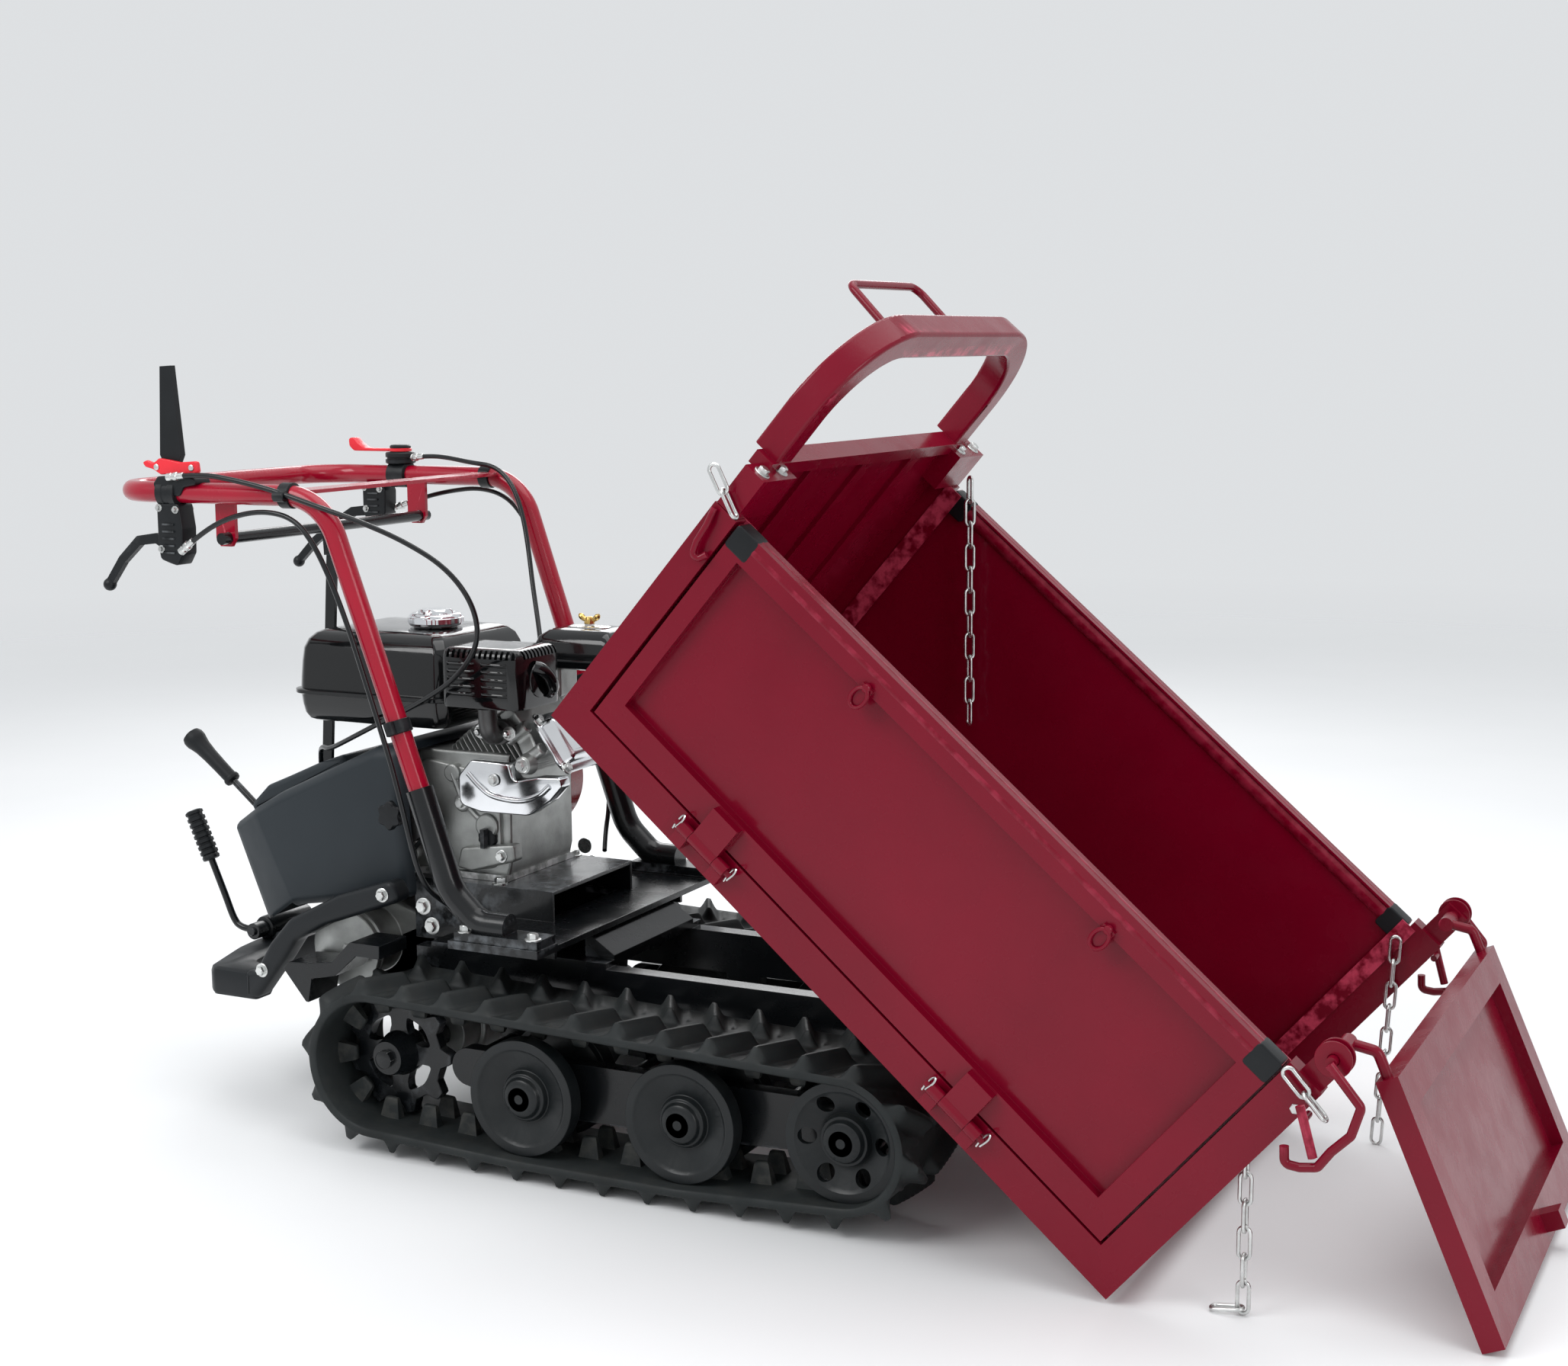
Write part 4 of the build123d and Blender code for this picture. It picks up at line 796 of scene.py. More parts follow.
def cylinder():
    """The barrel's thin fins stacked along its leaning axis, with the head and its bosses."""
    shape = bmesh.new()
    centre = (-150, 498)
    for index in range(12):
        along = -52 + 8.0 * index
        tall = 44 + 3 * math.sin(math.pi * index / 11)
        plate = [(-tall, -68), (tall, -68), (tall, 58), (-tall, 58)]
        lofted(shape, rounded_outline(plate, 14, 4),
               [(1.2, along - 1.2), (0, along - 0.5), (0, along + 0.5), (1.2, along + 1.2)],
               lambda a, b, level: leaned(centre, level, a, b))
    lofted(shape, rounded_outline([(-32, -50), (32, -50), (32, 42), (-32, 42)], 16, 4),
           [(0, -60), (0, 44)], lambda a, b, level: leaned(centre, level, a, b))
    head = [(-40, -72), (-12, -64), (24, -70), (46, -64), (46, 50), (-40, 50)]
    lofted(shape, rounded_outline(head, 10, 4), soft_ends(40, 66, 3),
           lambda a, b, level: leaned(centre, level, a, b))
    for upright, y in ((-36, -64), (40, -60), (0, -68)):
        lathe(shape, leaned(centre, 34, upright, y), AXIS, [(0, 7), (1, 9), (36, 9), (37.5, 7)],
              20)
    finished(shape, "cylinder.fins", "cast_alloy", "chassis", "cylinder")
    cover = bmesh.new()
    face = (-61, 514)
    outline = [(-37, -58), (37, -58), (37, 48), (-37, 48)]
    lofted(cover, rounded_outline(outline, 12, 6),
           [(-6, -5), (-7, -4), (-7, 0), (-5.5, 1), (2, 1.5), (3, 4), (4, 12), (6.5, 16),
            (11, 18), (16, 18), (17, 16.5), (30, 16.5)],
           lambda a, b, level: leaned(face, level, a, b))
    finished(cover, "valve_cover.chrome", "chrome", "chassis", "valve_cover", angle=45)
    bolts = bmesh.new()
    for upright, y in ((-38, -58), (38, -58), (-38, 48), (38, 48)):
        bolt(bolts, leaned(face, 1, upright, y), AXIS, 11, 6)
    finished(bolts, "valve_cover.bolts", "zinc", "chassis")


def engine_side():
    """Cast ribs and bosses, the bright shroud, exhaust elbow and the fasteners."""
    cast = bmesh.new()
    side_loft(cast, [(-296, 352), (-286, 334), (-196, 334), (-140, 342), (-130, 372), (-132, 450),
                     (-176, 476), (-250, 486), (-292, 450)], [10, 8, 10, 14, 20, 20, 14, 20, 16],
              -81, -70, 3)
    side_loft(cast, [(-188, 369), (-103, 380), (-101, 357), (-172, 337), (-196, 341)],
              [8, 6, 6, 8, 6], -92, -70, 4)
    for x, z, radius in ((-188, 430, 13), (-204, 469, 12), (-268, 452, 11), (-272, 352, 11),
                         (-90, 488, 12), (-150, 400, 17)):
        lathe(cast, W(x, -70, z), (0, -1, 0), [(0, radius + 3), (8, radius + 1), (15, radius),
                                              (16.5, radius - 2)], 28)
    pipe(cast, [W(-188, -82, 430), W(-196, -82, 450), W(-204, -82, 469)], 5, 10)
    pipe(cast, [W(-188, -81, 430), W(-168, -80, 412), W(-150, -80, 400)], 5, 10)
    pipe(cast, [W(-270, -80, 356), W(-270, -81, 400), W(-268, -80, 452)], 4, 10)
    brick(cast, (-300, -84, 325.4), (-120, 96, 334))
    finished(cast, "engine_block.casting", "cast_alloy", "chassis")
    bright = bmesh.new()
    side_loft(bright, [(-184, 430), (-150, 422), (-74, 423), (-40, 446), (-22, 466), (-24, 478),
                       (-60, 476), (-97, 468), (-104, 491), (-164, 492), (-184, 470)],
              [14, 14, 22, 14, 6, 6, 20, 10, 6, 6, 12], -98, -74, 2.5)
    pipe(bright, through([W(-168, -97, 474), W(-150, -97.5, 458), W(-128, -97.5, 446),
                          W(-88, -97.5, 443), W(-58, -97.5, 452), W(-40, -97, 466)], 30), 4.5, 12)
    finished(bright, "engine_shroud.chrome", "chrome", "chassis", "engine_shroud", angle=45)
    elbow = bmesh.new()
    side_loft(elbow, [(-164, 529), (-146, 546), (-118, 548), (-100, 533), (-118, 514),
                      (-146, 512)], [9, 14, 14, 9, 14, 14], -86, -75.5, 2)
    pipe(elbow, through([W(-130, -78, 528), W(-129, -96, 529), W(-128, -106, 540),
                         W(-128, -108, 566)], 14), 13, 18)
    finished(elbow, "exhaust_pipe.elbow", "steel_dark", "chassis", "exhaust_pipe")
    nuts = bmesh.new()
    for x in (-154, -109):
        bolt(nuts, W(x, -86, 530), (0, -1, 0), 12, 7, dome=True)
    for x, z in ((-188, 430), (-90, 488)):
        bolt(nuts, W(x, -86, z), (0, -1, 0), 12, 7)
    bolt(nuts, W(-126, -101, 468), (0, -1, 0), 10, 4)
    bolt(nuts, W(-122, -92, 363), (0, -1, 0), 11, 6)
    for x in (-290, -126):
        for y in (-92, 100):
            bolt(nuts, W(x, y, 325), (0, 0, 1), 13, 7)
    bolt(nuts, W(-91, 95, 654), (0, 0, 1), 12, 5)
    finished(nuts, "engine_fasteners.zinc", "zinc", "chassis")
    wing = bmesh.new()
    lathe(wing, W(-91, 95, 658), (0, 0, 1), [(0, 7.5), (2, 7.5), (9, 5), (10, 3.5)], 20)
    for way in SIDES:
        pipe(wing, through([W(-91, 95, 662), W(-91 + way * 9, 95, 665),
                            W(-91 + way * 16, 95, 671)], 8), [3.4, 3.4, 3.4, 3.6, 4.0, 4.3, 4.0,
                                                              2.0], 10)
    finished(wing, "engine_fasteners.wing_nut", "zinc", "chassis", "engine_fasteners",
             material=BRASS)
    plugs = bmesh.new()
    lathe(plugs, W(-149, -75, 384), (0, -1, 0), [(0, 15), (6, 15), (7, 13.5), (12, 13.5),
                                                 (13, 11)], 40, 10, 1.2)
    brick(plugs, (-152, -98, 372), (-146, -86, 398))
    lathe(plugs, W(-285, -75, 372), (0, -1, 0), [(0, 13), (8, 13), (9, 11)], 36, 9, 1.0)
    finished(plugs, "oil_plugs.caps", "black_plastic", "chassis", "oil_plugs")


def air_cleaner():
    """Air cleaner case: a lid with drawn-in shoulders and the plate under the wing nut."""
    shape = bmesh.new()
    plan = [(-158, 40), (-24, 40), (-24, 150), (-158, 150)]
    plan_loft(shape, plan, 18, [(4, 600), (0, 602), (0, 611), (2, 612)])
    plan_loft(shape, plan, 20, [(3, 611.5), (4, 614), (5, 634), (9, 643), (20, 651), (24, 652.6),
                                (40, 653)])
    finished(shape, "air_cleaner.case", "engine_black", "chassis", "air_cleaner", angle=50)
    plate = bmesh.new()
    plan_loft(plate, [(-122, 80), (-60, 80), (-60, 110), (-122, 110)], 14,
              [(0, 652.5), (0, 654), (2, 655)])
    finished(plate, "air_cleaner.plate", "zinc", "chassis")


BRASS = surface("brass", (0.60, 0.40, 0.13), 0.24, metallic=1.0, mottle=(60.0, 0.2))
rear_cover()
bumper()
fuel_tank()
muffler_guard()
cylinder()
engine_side()
air_cleaner()


# ---------------------------------------------------------------- controls
BAR_Y, BAR_Z = 232.0, 850.0
LEVER_HINGES = {-1: (-537, 773), 1: (-545, 796)}


def aimed(start, end):
    return (W(*end) - W(*start)).normalized()


def lever_housings():
    """Clamps round the bar with ribbed lever housings below, and the near red catch."""
    shape = bmesh.new()
    ribs = bmesh.new()
    screws = bmesh.new()
    for side, (x, z) in LEVER_HINGES.items():
        y = side * BAR_Y
        lathe(shape, W(x, y, BAR_Z), (1, 0, 0), [(-16, 18), (-14.5, 20.5), (-5, 20.5), (-4, 19.5),
                                                (4, 19.5), (5, 20.5), (14.5, 20.5), (16, 18)], 36)
        outline = [(x - 17, BAR_Z - 14), (x + 20, BAR_Z - 14), (x + 25, z + 30), (x + 24, z - 4),
                   (x + 14, z - 20), (x + 2, z - 17), (x - 14, z - 12), (x - 17, z + 8)]
        side_loft(shape, outline, [5, 5, 10, 8, 5, 6, 8, 12], y - 15, y + 15, 2.5)
        for row in range(5):
            for face in SIDES:
                low, high = sorted((y + face * 14.6, y + face * 17.2))
                brick(ribs, (x - 7, low, z - 4 + 9.5 * row), (x + 12, high, z - 1.6 + 9.5 * row))
        for across, level in ((-13, BAR_Z - 20), (15, BAR_Z - 22), (-11, z + 2)):
            for face in SIDES:
                bolt(screws, W(x + across, y + face * 14.6, level), (0, face, 0), 6.5, 3.2)
    made = piece("lever_clamps.housings", mesh_of(shape), "black_plastic", "chassis",
                 "lever_clamps")
    slots = bmesh.new()
    for side, (x, z) in LEVER_HINGES.items():
        y = side * BAR_Y
        brick(slots, (x - 40, y - 7, z - 24), (x + 13, y + 7, z + 34))
    carved(made, slots)
    creased(made, 35)
    near_y = -BAR_Y
    side_loft(ribs, [(-557, 862), (-549, 872), (-524, 873.5), (-500, 874), (-486, 870),
                     (-484, 862), (-506, 858), (-512, 846), (-550, 846)], [5, 5, 3, 4, 5, 5, 6, 8,
                                                                           8], near_y - 17,
              near_y + 15, 2.5)
    finished(ribs, "lever_clamps.ribs", "black_plastic", "chassis")
    catch = bmesh.new()
    side_loft(catch, [(-577, 890), (-569, 893), (-558, 889), (-548, 896), (-532, 894),
                      (-513, 891), (-484, 893), (-482, 877), (-500, 876), (-526, 875),
                      (-546, 874), (-559, 881), (-572, 884)], [3, 4, 8, 5, 6, 12, 4, 4, 8, 8, 6,
                                                               8, 4], near_y - 13, near_y - 6,
              1.6)
    finished(catch, "lever_clamps.catch", "throttle_red", "chassis")
    for x, z in ((-552, 884), (-493, 884)):
        lathe(screws, W(x, near_y - 12.6, z), (0, -1, 0), [(0, 4.2), (1.6, 4.2), (2.2, 3.0)], 18)
    finished(screws, "lever_clamps.screws", "zinc", "chassis")


def cable_ends(*routes):
    """Bright ferrules and adjusters where the cables leave their housings."""
    shape = bmesh.new()
    for route in routes:
        start, after = route[0], route[1]
        lathe(shape, W(*start), aimed(start, after),
              [(-9, 4.8), (-8, 5.8), (-1, 5.8), (0, 4.6), (3, 4.6), (4, 6.2), (9, 6.2), (10, 4.8),
               (19, 4.6), (20, 3.8)], 20)
    finished(shape, "lever_clamps.ferrules", "zinc", "chassis")


def cable_clips():
    """Moulded clips that hold the cables against the bar."""
    shape = bmesh.new()
    for side in SIDES:
        leg = aimed((-290, side * BAR_Y, BAR_Z), (-158, side * 225, 476))
        for centre, axis in ((W(-186, side * 226.5, 555), leg), (W(-344, side * BAR_Y, 850),
                                                                 Vector((1, 0, 0)))):
            lathe(shape, centre, axis, [(-9, 15.5), (-8, 17), (8, 17), (9, 15.5)], 32)
            outer = centre + Vector((0, side * 0.0185, 0))
            lathe(shape, outer, axis, [(-9, 6), (-8, 7.2), (8, 7.2), (9, 6)], 24)
    finished(shape, "lever_clamps.clips", "black_plastic", "chassis")


def throttle():
    """Indexed drum with its saddle, and the thumb lever whose tip curls up."""
    drum = bmesh.new()
    lathe(drum, W(-500, BAR_Y, 866), (0, 0, 1), [(0, 19), (2, 22.5), (7, 22.5), (7.5, 20.5),
                                                 (10, 20.5), (10.5, 22.5), (16, 22.5),
                                                 (17.6, 21)], 40)
    lathe(drum, W(-500, BAR_Y, BAR_Z), (1, 0, 0), [(-16, 17), (-14.5, 19.5), (14.5, 19.5),
                                                  (16, 17)], 36)
    finished(drum, "throttle_housing.drum", "black_plastic", "chassis", "throttle_housing")
    lever = bmesh.new()
    lathe(lever, W(-500, BAR_Y, 884.4), (0, 0, 1), [(0, 15.5), (0.8, 17), (4.4, 17), (5.6, 15)],
          36)
    side_loft(lever, [(-504, 889.2), (-545, 888.8), (-561, 890), (-572, 897), (-580, 905),
                      (-590, 904), (-589, 892), (-581, 884.8), (-560, 884.6), (-504, 884.6)],
              [2, 8, 10, 10, 4, 5, 6, 8, 10, 2], BAR_Y - 8, BAR_Y + 8, 1.8)
    finished(lever, "throttle_lever.thumb", "throttle_red", "throttle_lever", "throttle_lever")
    cap = bmesh.new()
    lathe(cap, W(-500, BAR_Y, 889.8), (0, 0, 1), [(0, 15.8), (3, 15.8), (4.6, 14), (5.2, 9),
                                                (5.2, 3)], 36)
    finished(cap, "throttle_lever.cap", "black_plastic", "throttle_lever")


def grips():
    """The gear lever's smooth flared grip and the second lever's block-ribbed one."""
    shape = bmesh.new()
    foot, head = (-616, -40, 418), (-694, -40, 482)
    lathe(shape, W(*foot), aimed(foot, head),
          [(0, 8), (1.5, 11), (5, 12), (8, 11.4), (9, 10), (30, 10.2), (55, 11), (72, 12.4),
           (82, 14.6), (86, 15.8), (93, 16), (98, 14), (100.5, 9)], 36)
    finished(shape, "gear_lever.grip", "grip_rubber", "gear_lever", "gear_lever", angle=40)
    rods = bmesh.new()
    pipe(rods, [W(-486, -40, 312), W(-618, -40, 420)], 5, 16)
    lathe(rods, W(-486, -47, 312), (0, 1, 0), [(0, 8), (1, 9), (13, 9), (14, 8)], 28)
    finished(rods, "gear_lever.rod", "frame_black", "gear_lever")
    shape = bmesh.new()
    foot, head = (-643, -64, 304), (-674, -64, 374)
    profile = [(0, 10), (1, 12.5), (5, 13.2), (7, 12)]
    for row in range(7):
        start = 8.5 + 8.6 * row
        profile += [(start, 11.4), (start + 0.8, 13.6), (start + 5.6, 13.6), (start + 6.4, 11.4)]
    profile += [(70, 11.6), (71, 13.4), (74.5, 13.4), (76.4, 10)]
    lathe(shape, W(*foot), aimed(foot, head), profile, 40, 5, 1.3)
    finished(shape, "tip_lever.grip", "grip_rubber", "tip_lever", "tip_lever", angle=40)
    rods = bmesh.new()
    pipe(rods, through([W(-645, -64, 308), W(-622, -64, 256), W(-606, -64, 220),
                        W(-592, -64, 209), W(-566, -64, 206)], 24), 5, 16)
    lathe(rods, W(-566, -72, 206), (0, 1, 0), [(0, 11), (1, 12), (22.5, 12), (23.5, 11)], 28)
    finished(rods, "tip_lever.rod", "frame_black", "tip_lever")


# ---------------------------------------------------------------- wheels and fastenings
def hub_nuts():
    """A castle nut on a washer at each sprocket's hub, and caps on the other wheels."""
    for side, name in SIDE_NAMES.items():
        for wheel, nut in (("sprocket", True), ("idler", False), ("rear_roller", False),
                           ("front_roller", False)):
            node = f"{wheel}_{name}"
            low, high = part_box(node)
            face = low[1] if side < 0 else high[1]
            centre = Vector(((low[0] + high[0]) / 2, face - side * 0.002, (low[2] + high[2]) / 2))
            shape = bmesh.new()
            if nut:
                centre.y -= side * 0.012
                lathe(shape, centre, (0, side, 0), [(0, 17), (2, 17), (2.5, 16)], 32)
                bolt(shape, centre + Vector((0, side * 0.0022, 0)), (0, side, 0), 22, 11.5,
                     washer=False)
                slot = "zinc"
            else:
                lathe(shape, centre, (0, side, 0), [(-3, 17), (1.2, 17), (2.0, 15.5), (2.0, 6),
                                                    (0.6, 4.5), (0.6, 1)], 32)
                slot = "wheel_black"
            finished(shape, f"{node}.hub", slot, BODY_OF[node])


def sprocket_casting(side):
    """The drive sprocket: nine teeth, a deep rim and four rounded windows between its spokes."""
    node = "sprocket_" + SIDE_NAMES[side]
    low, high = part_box(node)
    middle_y = (side * max(abs(low[1]), abs(high[1])) * 1000) - side * 46
    centre = ((low[0] + high[0]) * 500 + DATUM_X, (low[2] + high[2]) * 500)
    teeth, tip, root = 9, 81.0, 66.0

    def spot(radius, degrees):
        angle = math.radians(degrees)
        return Vector((radius * math.cos(angle), radius * math.sin(angle)))

    def place(a, b, level):
        return W(centre[0] + a, middle_y + side * level, centre[1] + b)

    outline = []
    for tooth in range(teeth):
        start = 360 / teeth * tooth
        outline += [spot(root, start - 12), spot(tip - 3, start - 5.8), spot(tip, start - 3.8),
                    spot(tip, start + 3.8), spot(tip - 3, start + 5.8), spot(root, start + 12)]
    shape = bmesh.new()
    lofted(shape, outline, [(1, -8), (0, -7), (0, 7), (1, 8)], place)
    casting = piece(node + ".casting", mesh_of(shape), "frame_black", node, node)
    cuts = bmesh.new()
    for quarter in range(4):
        at = 45 + 90 * quarter
        window = [spot(25, at), spot(38, at - 27), spot(52, at - 31), spot(55, at),
                  spot(52, at + 31), spot(38, at + 27)]
        lofted(cuts, rounded_outline(window, [7, 8, 8, 30, 8, 8]), [(0, -12), (0, 12)], place)
    carved(casting, cuts)
    creased(casting, 35)
    hub = bmesh.new()
    lathe(hub, place(0, 0, 0), (0, side, 0),
          [(-87, 15), (-86, 16), (-24, 16), (-18, 27), (-9, 30), (9, 30), (12, 28), (30, 24),
           (36, 22), (37, 12), (45, 12), (46, 10)], 40)
    finished(hub, node + ".boss", "frame_black", node)


def cover_fittings():
    """The star knob on the cover, the gearbox's dished plate, and the foot's zinc bolts."""
    knob = bmesh.new()
    lathe(knob, W(-239, -166, 425), (0, -1, 0), [(0, 9), (6, 9), (7, 18), (8.5, 20), (15, 20),
                                                (17, 18), (17.5, 8)], 60, 6, 4.0)
    finished(knob, "rear_cover.knob", "black_plastic", "chassis", angle=40)
    plate = bmesh.new()
    lathe(plate, W(-326, -150, 232), (0, -1, 0), [(0, 50), (2, 53), (6, 53), (8, 50), (8.5, 40),
                                                 (6.5, 34), (6.5, 22), (9, 18), (13, 17),
                                                 (14, 15), (14, 5)], 48)
    finished(plate, "gearbox.plate", "cast_alloy", "chassis")
    bolts = bmesh.new()
    bolt(bolts, W(-326, -163.5, 232), (0, -1, 0), 12, 5)
    for side in SIDES:
        for x, z in ((-172, 314), (-159, 289)):
            bolt(bolts, W(x, side * 203, z), (0, side, 0), 14, 7)
        for x in (-84, 18):
            bolt(bolts, W(x, side * 237, 298), (0, 0, 1), 13, 7)
        bolt(bolts, W(-238, side * 203, 322), (0, side, 0), 12, 6)
        bolt(bolts, W(-444, side * 203, 196), (0, side, 0), 12, 6)
    finished(bolts, "main_frame.bolts", "zinc", "chassis")


# ---------------------------------------------------------------- skip fittings
SKIP_HALF, PANEL_TOP, PANEL_FOOT = 335.0, 343.0, 43.0
CAP_STARTS = (39.2, 838.8)      # along the skip, where a rail's end caps start
CAP_LENGTH = 34.0
LOOPS_AT = (275, 647)           # along the skip, where the loops hang
PIN_Y = 345.0
HINGE_SPANS = ((211, 288), (625, 701))


def tilted(ds, dt):
    """A direction in the tipped skip's frame, from parts along its floor and square to it."""
    return Vector((ds * math.cos(TILT) + dt * math.sin(TILT), 0,
                   dt * math.cos(TILT) - ds * math.sin(TILT)))


def panel_fittings(side):
    """Black end caps on a drop side's top rail, a round bar along that rail, and hanging loops.
    """
    body = "side_panel_" + SIDE_NAMES[side]
    caps = bmesh.new()
    for start in CAP_STARTS:
        low, high = sorted((side * (SKIP_HALF + 0.8), side * (SKIP_HALF - 25.8)))
        end, foot, top = start + CAP_LENGTH, PANEL_TOP - 30, PANEL_TOP + 0.9
        rim = [(start, foot), (end, foot), (end, top), (start, top)]
        lofted(caps, rounded_outline(rim, 5), soft_ends(low, high, 2),
               lambda a, b, level: K(a, level, b))
    finished(caps, body + ".caps", "black_plastic", body)
    rail = bmesh.new()
    y = side * (SKIP_HALF - 12.5)
    lathe(rail, K(70, y, PANEL_TOP - 12.6), tilted(1, 0), [(0, 13), (772, 13)], 40)
    finished(rail, body + ".rail", "skip_red", body)
    loops = bmesh.new()
    for s in LOOPS_AT:
        ring = [K(s + 9 * math.sin(a), side * (SKIP_HALF + 7), 300 + 13 * math.cos(a))
                for a in (math.tau * k / 24 for k in range(24))]
        pipe(loops, ring, 2.4, 10, closed=True)
        lathe(loops, K(s, side * (SKIP_HALF + 3), 314), (0, side, 0), [(0, 5), (5, 5), (6, 4)],
              20)
    finished(loops, body + ".loops", "skip_red", body)


def hinge_pins():
    """Hairpin clips through the ends of the drop sides' hinge pins."""
    shape = bmesh.new()
    for side in SIDES:
        y = side * PIN_Y
        for start, end in HINGE_SPANS:
            for s in (start - 5, end + 5):
                pipe(shape, through([K(s, y, 20), K(s - 1, y, 30), K(s, y, 40),
                                     K(s + 3, y + side * 3, 44), K(s + 5, y + side * 5, 38),
                                     K(s + 3, y + side * 5, 26)], 24), 1.3, 8)
    finished(shape, "skip_tray.clips", "zinc", "skip")


def headboard_details():
    """The uneven weld bead under the headboard's rail and its foot bolts."""
    bead = bmesh.new()
    count = 90
    draw = random.Random(4)
    line = [K(7.5, -300 + 600 * k / (count - 1),
              390.5 + draw.uniform(-1, 1)) for k in range(count)]
    pipe(bead, line, [3.4 + 0.9 * math.sin(1.9 * k) + draw.uniform(-0.4, 0.4)
                      for k in range(count)], 10)
    finished(bead, "headboard.weld", "skip_red", "skip", angle=60)
    bolts = bmesh.new()
    for side in SIDES:
        for y in (272, 318):
            bolt(bolts, K(18, side * y, 400), tilted(0, 1), 12, 6)
        bolt(bolts, K(912, side * 331, 318), (0, side, 0), 11, 4)
    finished(bolts, "headboard.bolts", "zinc", "skip")
    strips = bmesh.new()
    for side in SIDES:
        low, high = sorted((side * 309.6, side * 307.4))
        for start, end in ((26, 52), (862, 884)):
            brick(strips, (start, low, PANEL_FOOT), (end, high, PANEL_TOP), K)
    finished(strips, "skip_tray.strips", "skip_red", "skip")


lever_housings()
cable_clips()
throttle()
grips()
hub_nuts()
cover_fittings()
for side in SIDES:
    sprocket_casting(side)
    panel_fittings(side)
hinge_pins()
headboard_details()


# ---------------------------------------------------------------- softened CAD
ROUNDING = {                    # mm, by node
    "main_frame": 1.5, "gearbox": 4.0, "mud_plates": 1.2, "track_beams": 1.5,
    "engine_block": 3.0, "recoil_housing": 3.0, "carburettor": 2.0, "handlebar": 0.8,
    "handlebar_sockets": 1.2, "blade_lever": 2.5, "cross_brace": 1.0, "brace_stay": 0.8,
    "skip_tray": 1.6, "gate_spools": 1.2, "headboard": 1.4, "side_panel_near": 2.0,
    "side_panel_far": 2.0, "tailgate": 1.8, "linkage_rod": 1.0, "pivot_shaft": 1.0,
    "starter_grip": 1.5, "rear_roller_near": 1.6, "rear_roller_far": 1.6,
    "front_roller_near": 1.6, "front_roller_far": 1.6, "idler_near": 1.6, "idler_far": 1.6,
}
for node, width in ROUNDING.items():
    softened(node, width)


# ---------------------------------------------------------------- cables
THROTTLE_ROUTE = [(-476.5, 232, 876), (-445, 230, 879), (-405, 222, 877), (-362, 214, 871),
                  (-316, 211, 867), (-284, 206, 840), (-264, 199, 800), (-247, 186, 752),
                  (-229, 167, 700), (-208, 146, 652), (-188, 122, 616), (-181, 102, 594)]
CLUTCH_ROUTE = [(-521, -250, 872), (-472, -252, 877), (-412, -252, 869), (-352, -251, 857),
                (-292, -250, 840), (-232, -238, 821), (-172, -223, 796), (-118, -207, 762),
                (-88, -192, 714), (-92, -176, 662), (-140, -160, 612), (-210, -146, 573),
                (-285, -130, 540), (-350, -116, 510), (-404, -90, 488), (-438, -62, 486),
                (-457, -42, 470), (-461, -35, 436)]
STEER_ROUTE = [(-509.5, -246, 777), (-470, -250, 803), (-420, -252, 823), (-368, -252, 831),
               (-322, -251, 822), (-292, -251, 790), (-267, -250, 742), (-242, -251, 685),
               (-222, -250, 625), (-201, -251, 567), (-183, -250, 512), (-167, -251, 456),
               (-156, -249, 406), (-151, -239, 364), (-145, -217, 332), (-131, -191, 313)]
FAR_STEER_ROUTE = [(-517.5, 246, 800), (-474, 250, 815), (-424, 252, 826), (-370, 251, 832),
                   (-324, 251, 820), (-293, 250, 788), (-268, 251, 740), (-243, 250, 684),
                   (-221, 251, 624), (-201, 250, 567), (-182, 251, 512), (-167, 250, 456),
                   (-156, 249, 406), (-151, 239, 364), (-145, 217, 332), (-131, 191, 313)]
CABLE_WIDTH = 7.0
cable("throttle_cable", THROTTLE_ROUTE, CABLE_WIDTH)
cable("clutch_cable", CLUTCH_ROUTE, CABLE_WIDTH)
cable("steering_cable_near", STEER_ROUTE, CABLE_WIDTH)
cable("steering_cable_far", FAR_STEER_ROUTE, CABLE_WIDTH)
cable_ends(THROTTLE_ROUTE, CLUTCH_ROUTE, STEER_ROUTE, FAR_STEER_ROUTE)


# ---------------------------------------------------------------- studio
FLOOR_RADIUS, FLOOR_GAP = 30, 0.0004
FADE = (2.2, 7.5)               # metres from the middle, where the floor starts and ends fading


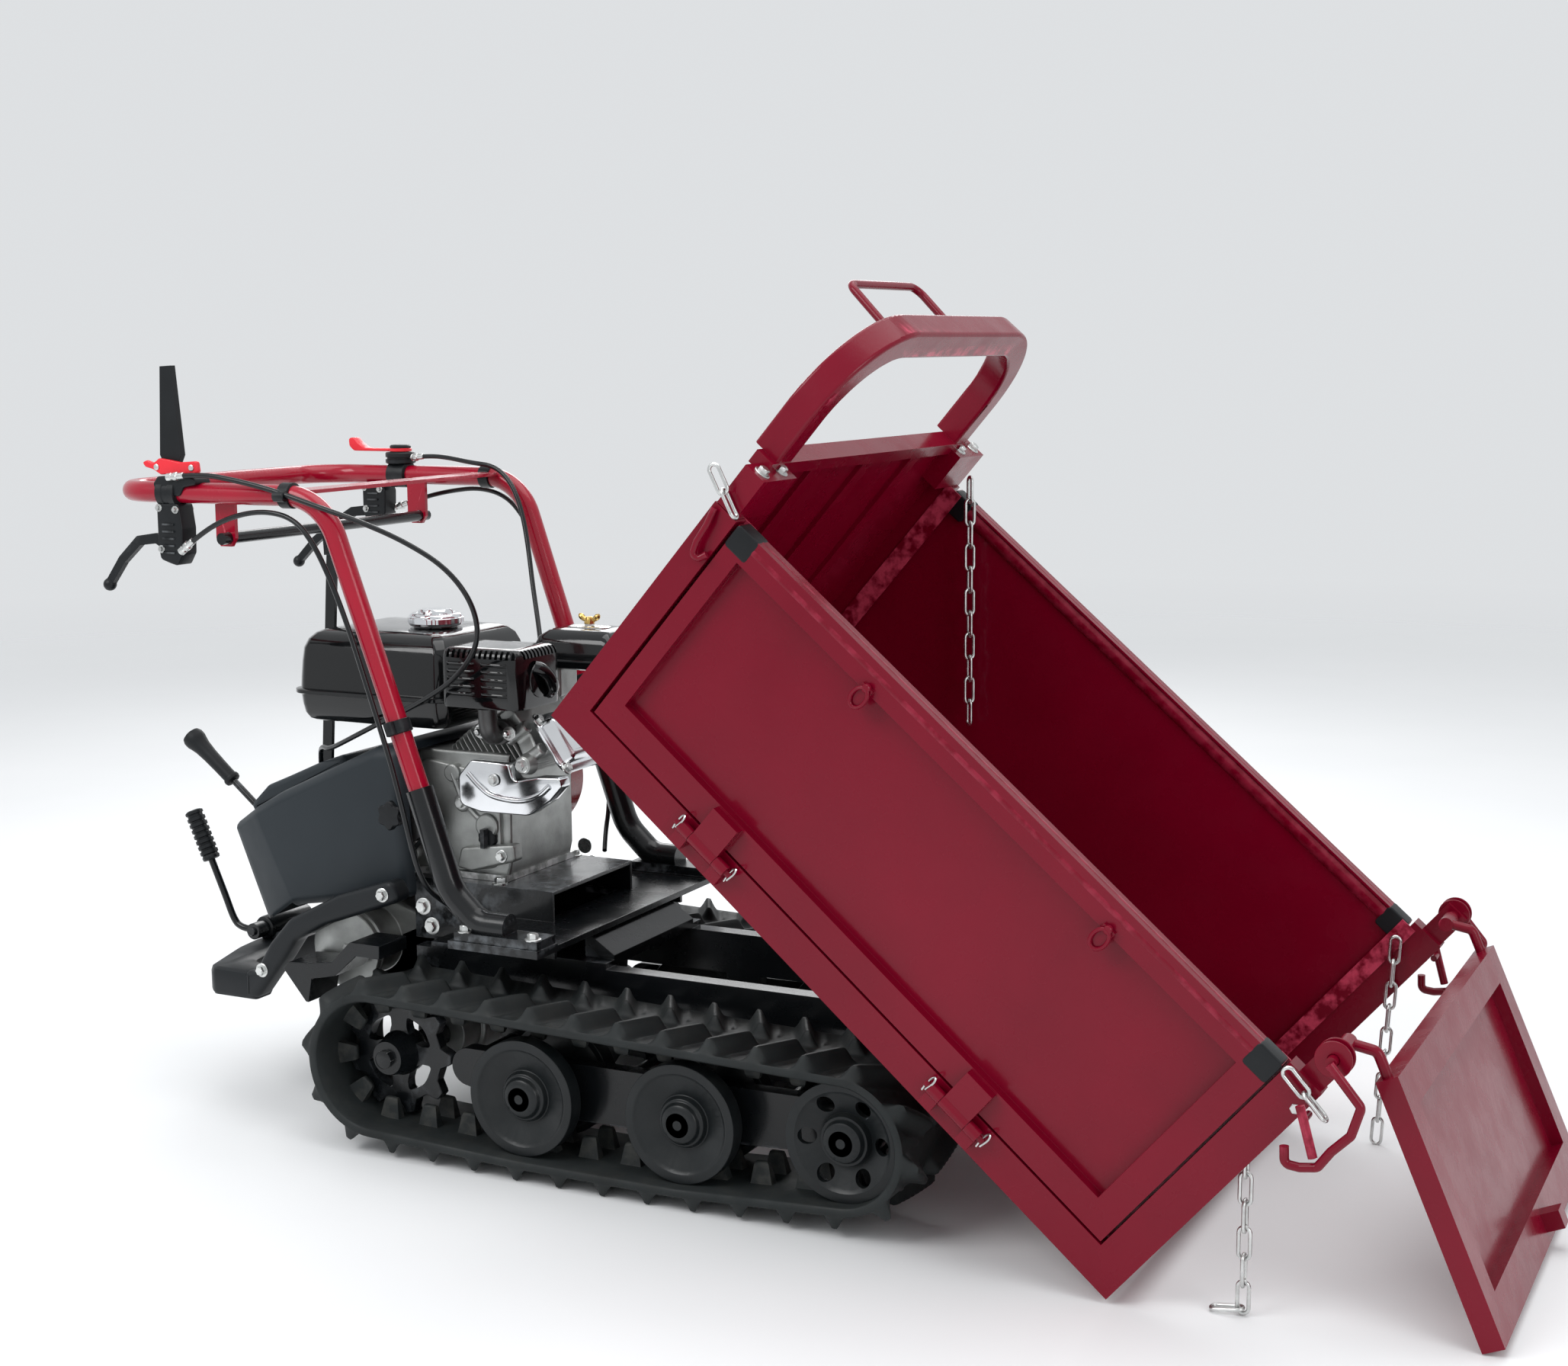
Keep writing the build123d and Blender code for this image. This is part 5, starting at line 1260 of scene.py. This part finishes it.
def studio_floor():
    """A pale floor that fades into the backdrop's light away from the machine."""
    shape = bmesh.new()
    bmesh.ops.create_circle(shape, cap_ends=True, segments=96, radius=FLOOR_RADIUS)
    mesh = bpy.data.meshes.new("floor")
    shape.to_mesh(mesh)
    shape.free()
    floor = bpy.data.objects.new("floor", mesh)
    bpy.context.scene.collection.objects.link(floor)
    floor.location.z = -FLOOR_GAP
    shader = Shader("studio_floor")
    pale = shader.mix(shader.noise(1.4, 4.0), (0.80, 0.81, 0.82), (0.88, 0.885, 0.89))
    shader.join(pale, shader.body.inputs["Base Color"])
    shader.body.inputs["Roughness"].default_value = 0.6
    length = shader.nodes.new("ShaderNodeVectorMath")
    length.operation = "LENGTH"
    shader.join(shader.place, length.inputs[0])
    fade = shader.span(length.outputs["Value"], *FADE)
    clear = shader.nodes.new("ShaderNodeBsdfTransparent")
    blend = shader.nodes.new("ShaderNodeMixShader")
    shader.join(fade, blend.inputs[0])
    shader.join(shader.body.outputs[0], blend.inputs[1])
    shader.join(clear.outputs[0], blend.inputs[2])
    shader.join(blend.outputs[0], shader.nodes["Material Output"].inputs["Surface"])
    mesh.materials.append(shader.material)


def lamp(name, place, target, width, height, power, colour=(1, 1, 1)):
    """A large soft rectangle of light that faces a target."""
    light = bpy.data.lights.new(name, "AREA")
    light.shape = "RECTANGLE"
    light.size, light.size_y = width, height
    light.energy = power
    light.color = colour
    holder = bpy.data.objects.new(name, light)
    bpy.context.scene.collection.objects.link(holder)
    holder.location = place
    aim = Vector(target) - Vector(place)
    holder.rotation_euler = aim.to_track_quat("-Z", "Y").to_euler()


studio_floor()
lamp("key", (-1.6, -2.6, 3.0), (0.1, 0, 0.4), 2.2, 1.6, 60)
lamp("top", (0.3, 0.4, 3.6), (0.1, 0, 0.3), 3.0, 3.0, 55)
lamp("side", (3.6, -1.6, 1.8), (0.2, 0, 0.4), 1.6, 1.8, 30)
lamp("back", (-1.8, 3.2, 2.2), (0, 0, 0.5), 2.0, 1.5, 35)
world = bpy.data.worlds.new("studio")
world.use_nodes = True
world.node_tree.nodes["Background"].inputs["Color"].default_value = (0.86, 0.88, 0.90, 1)
world.node_tree.nodes["Background"].inputs["Strength"].default_value = 0.85
bpy.context.scene.world = world
bpy.context.scene.view_settings.view_transform = "Standard"
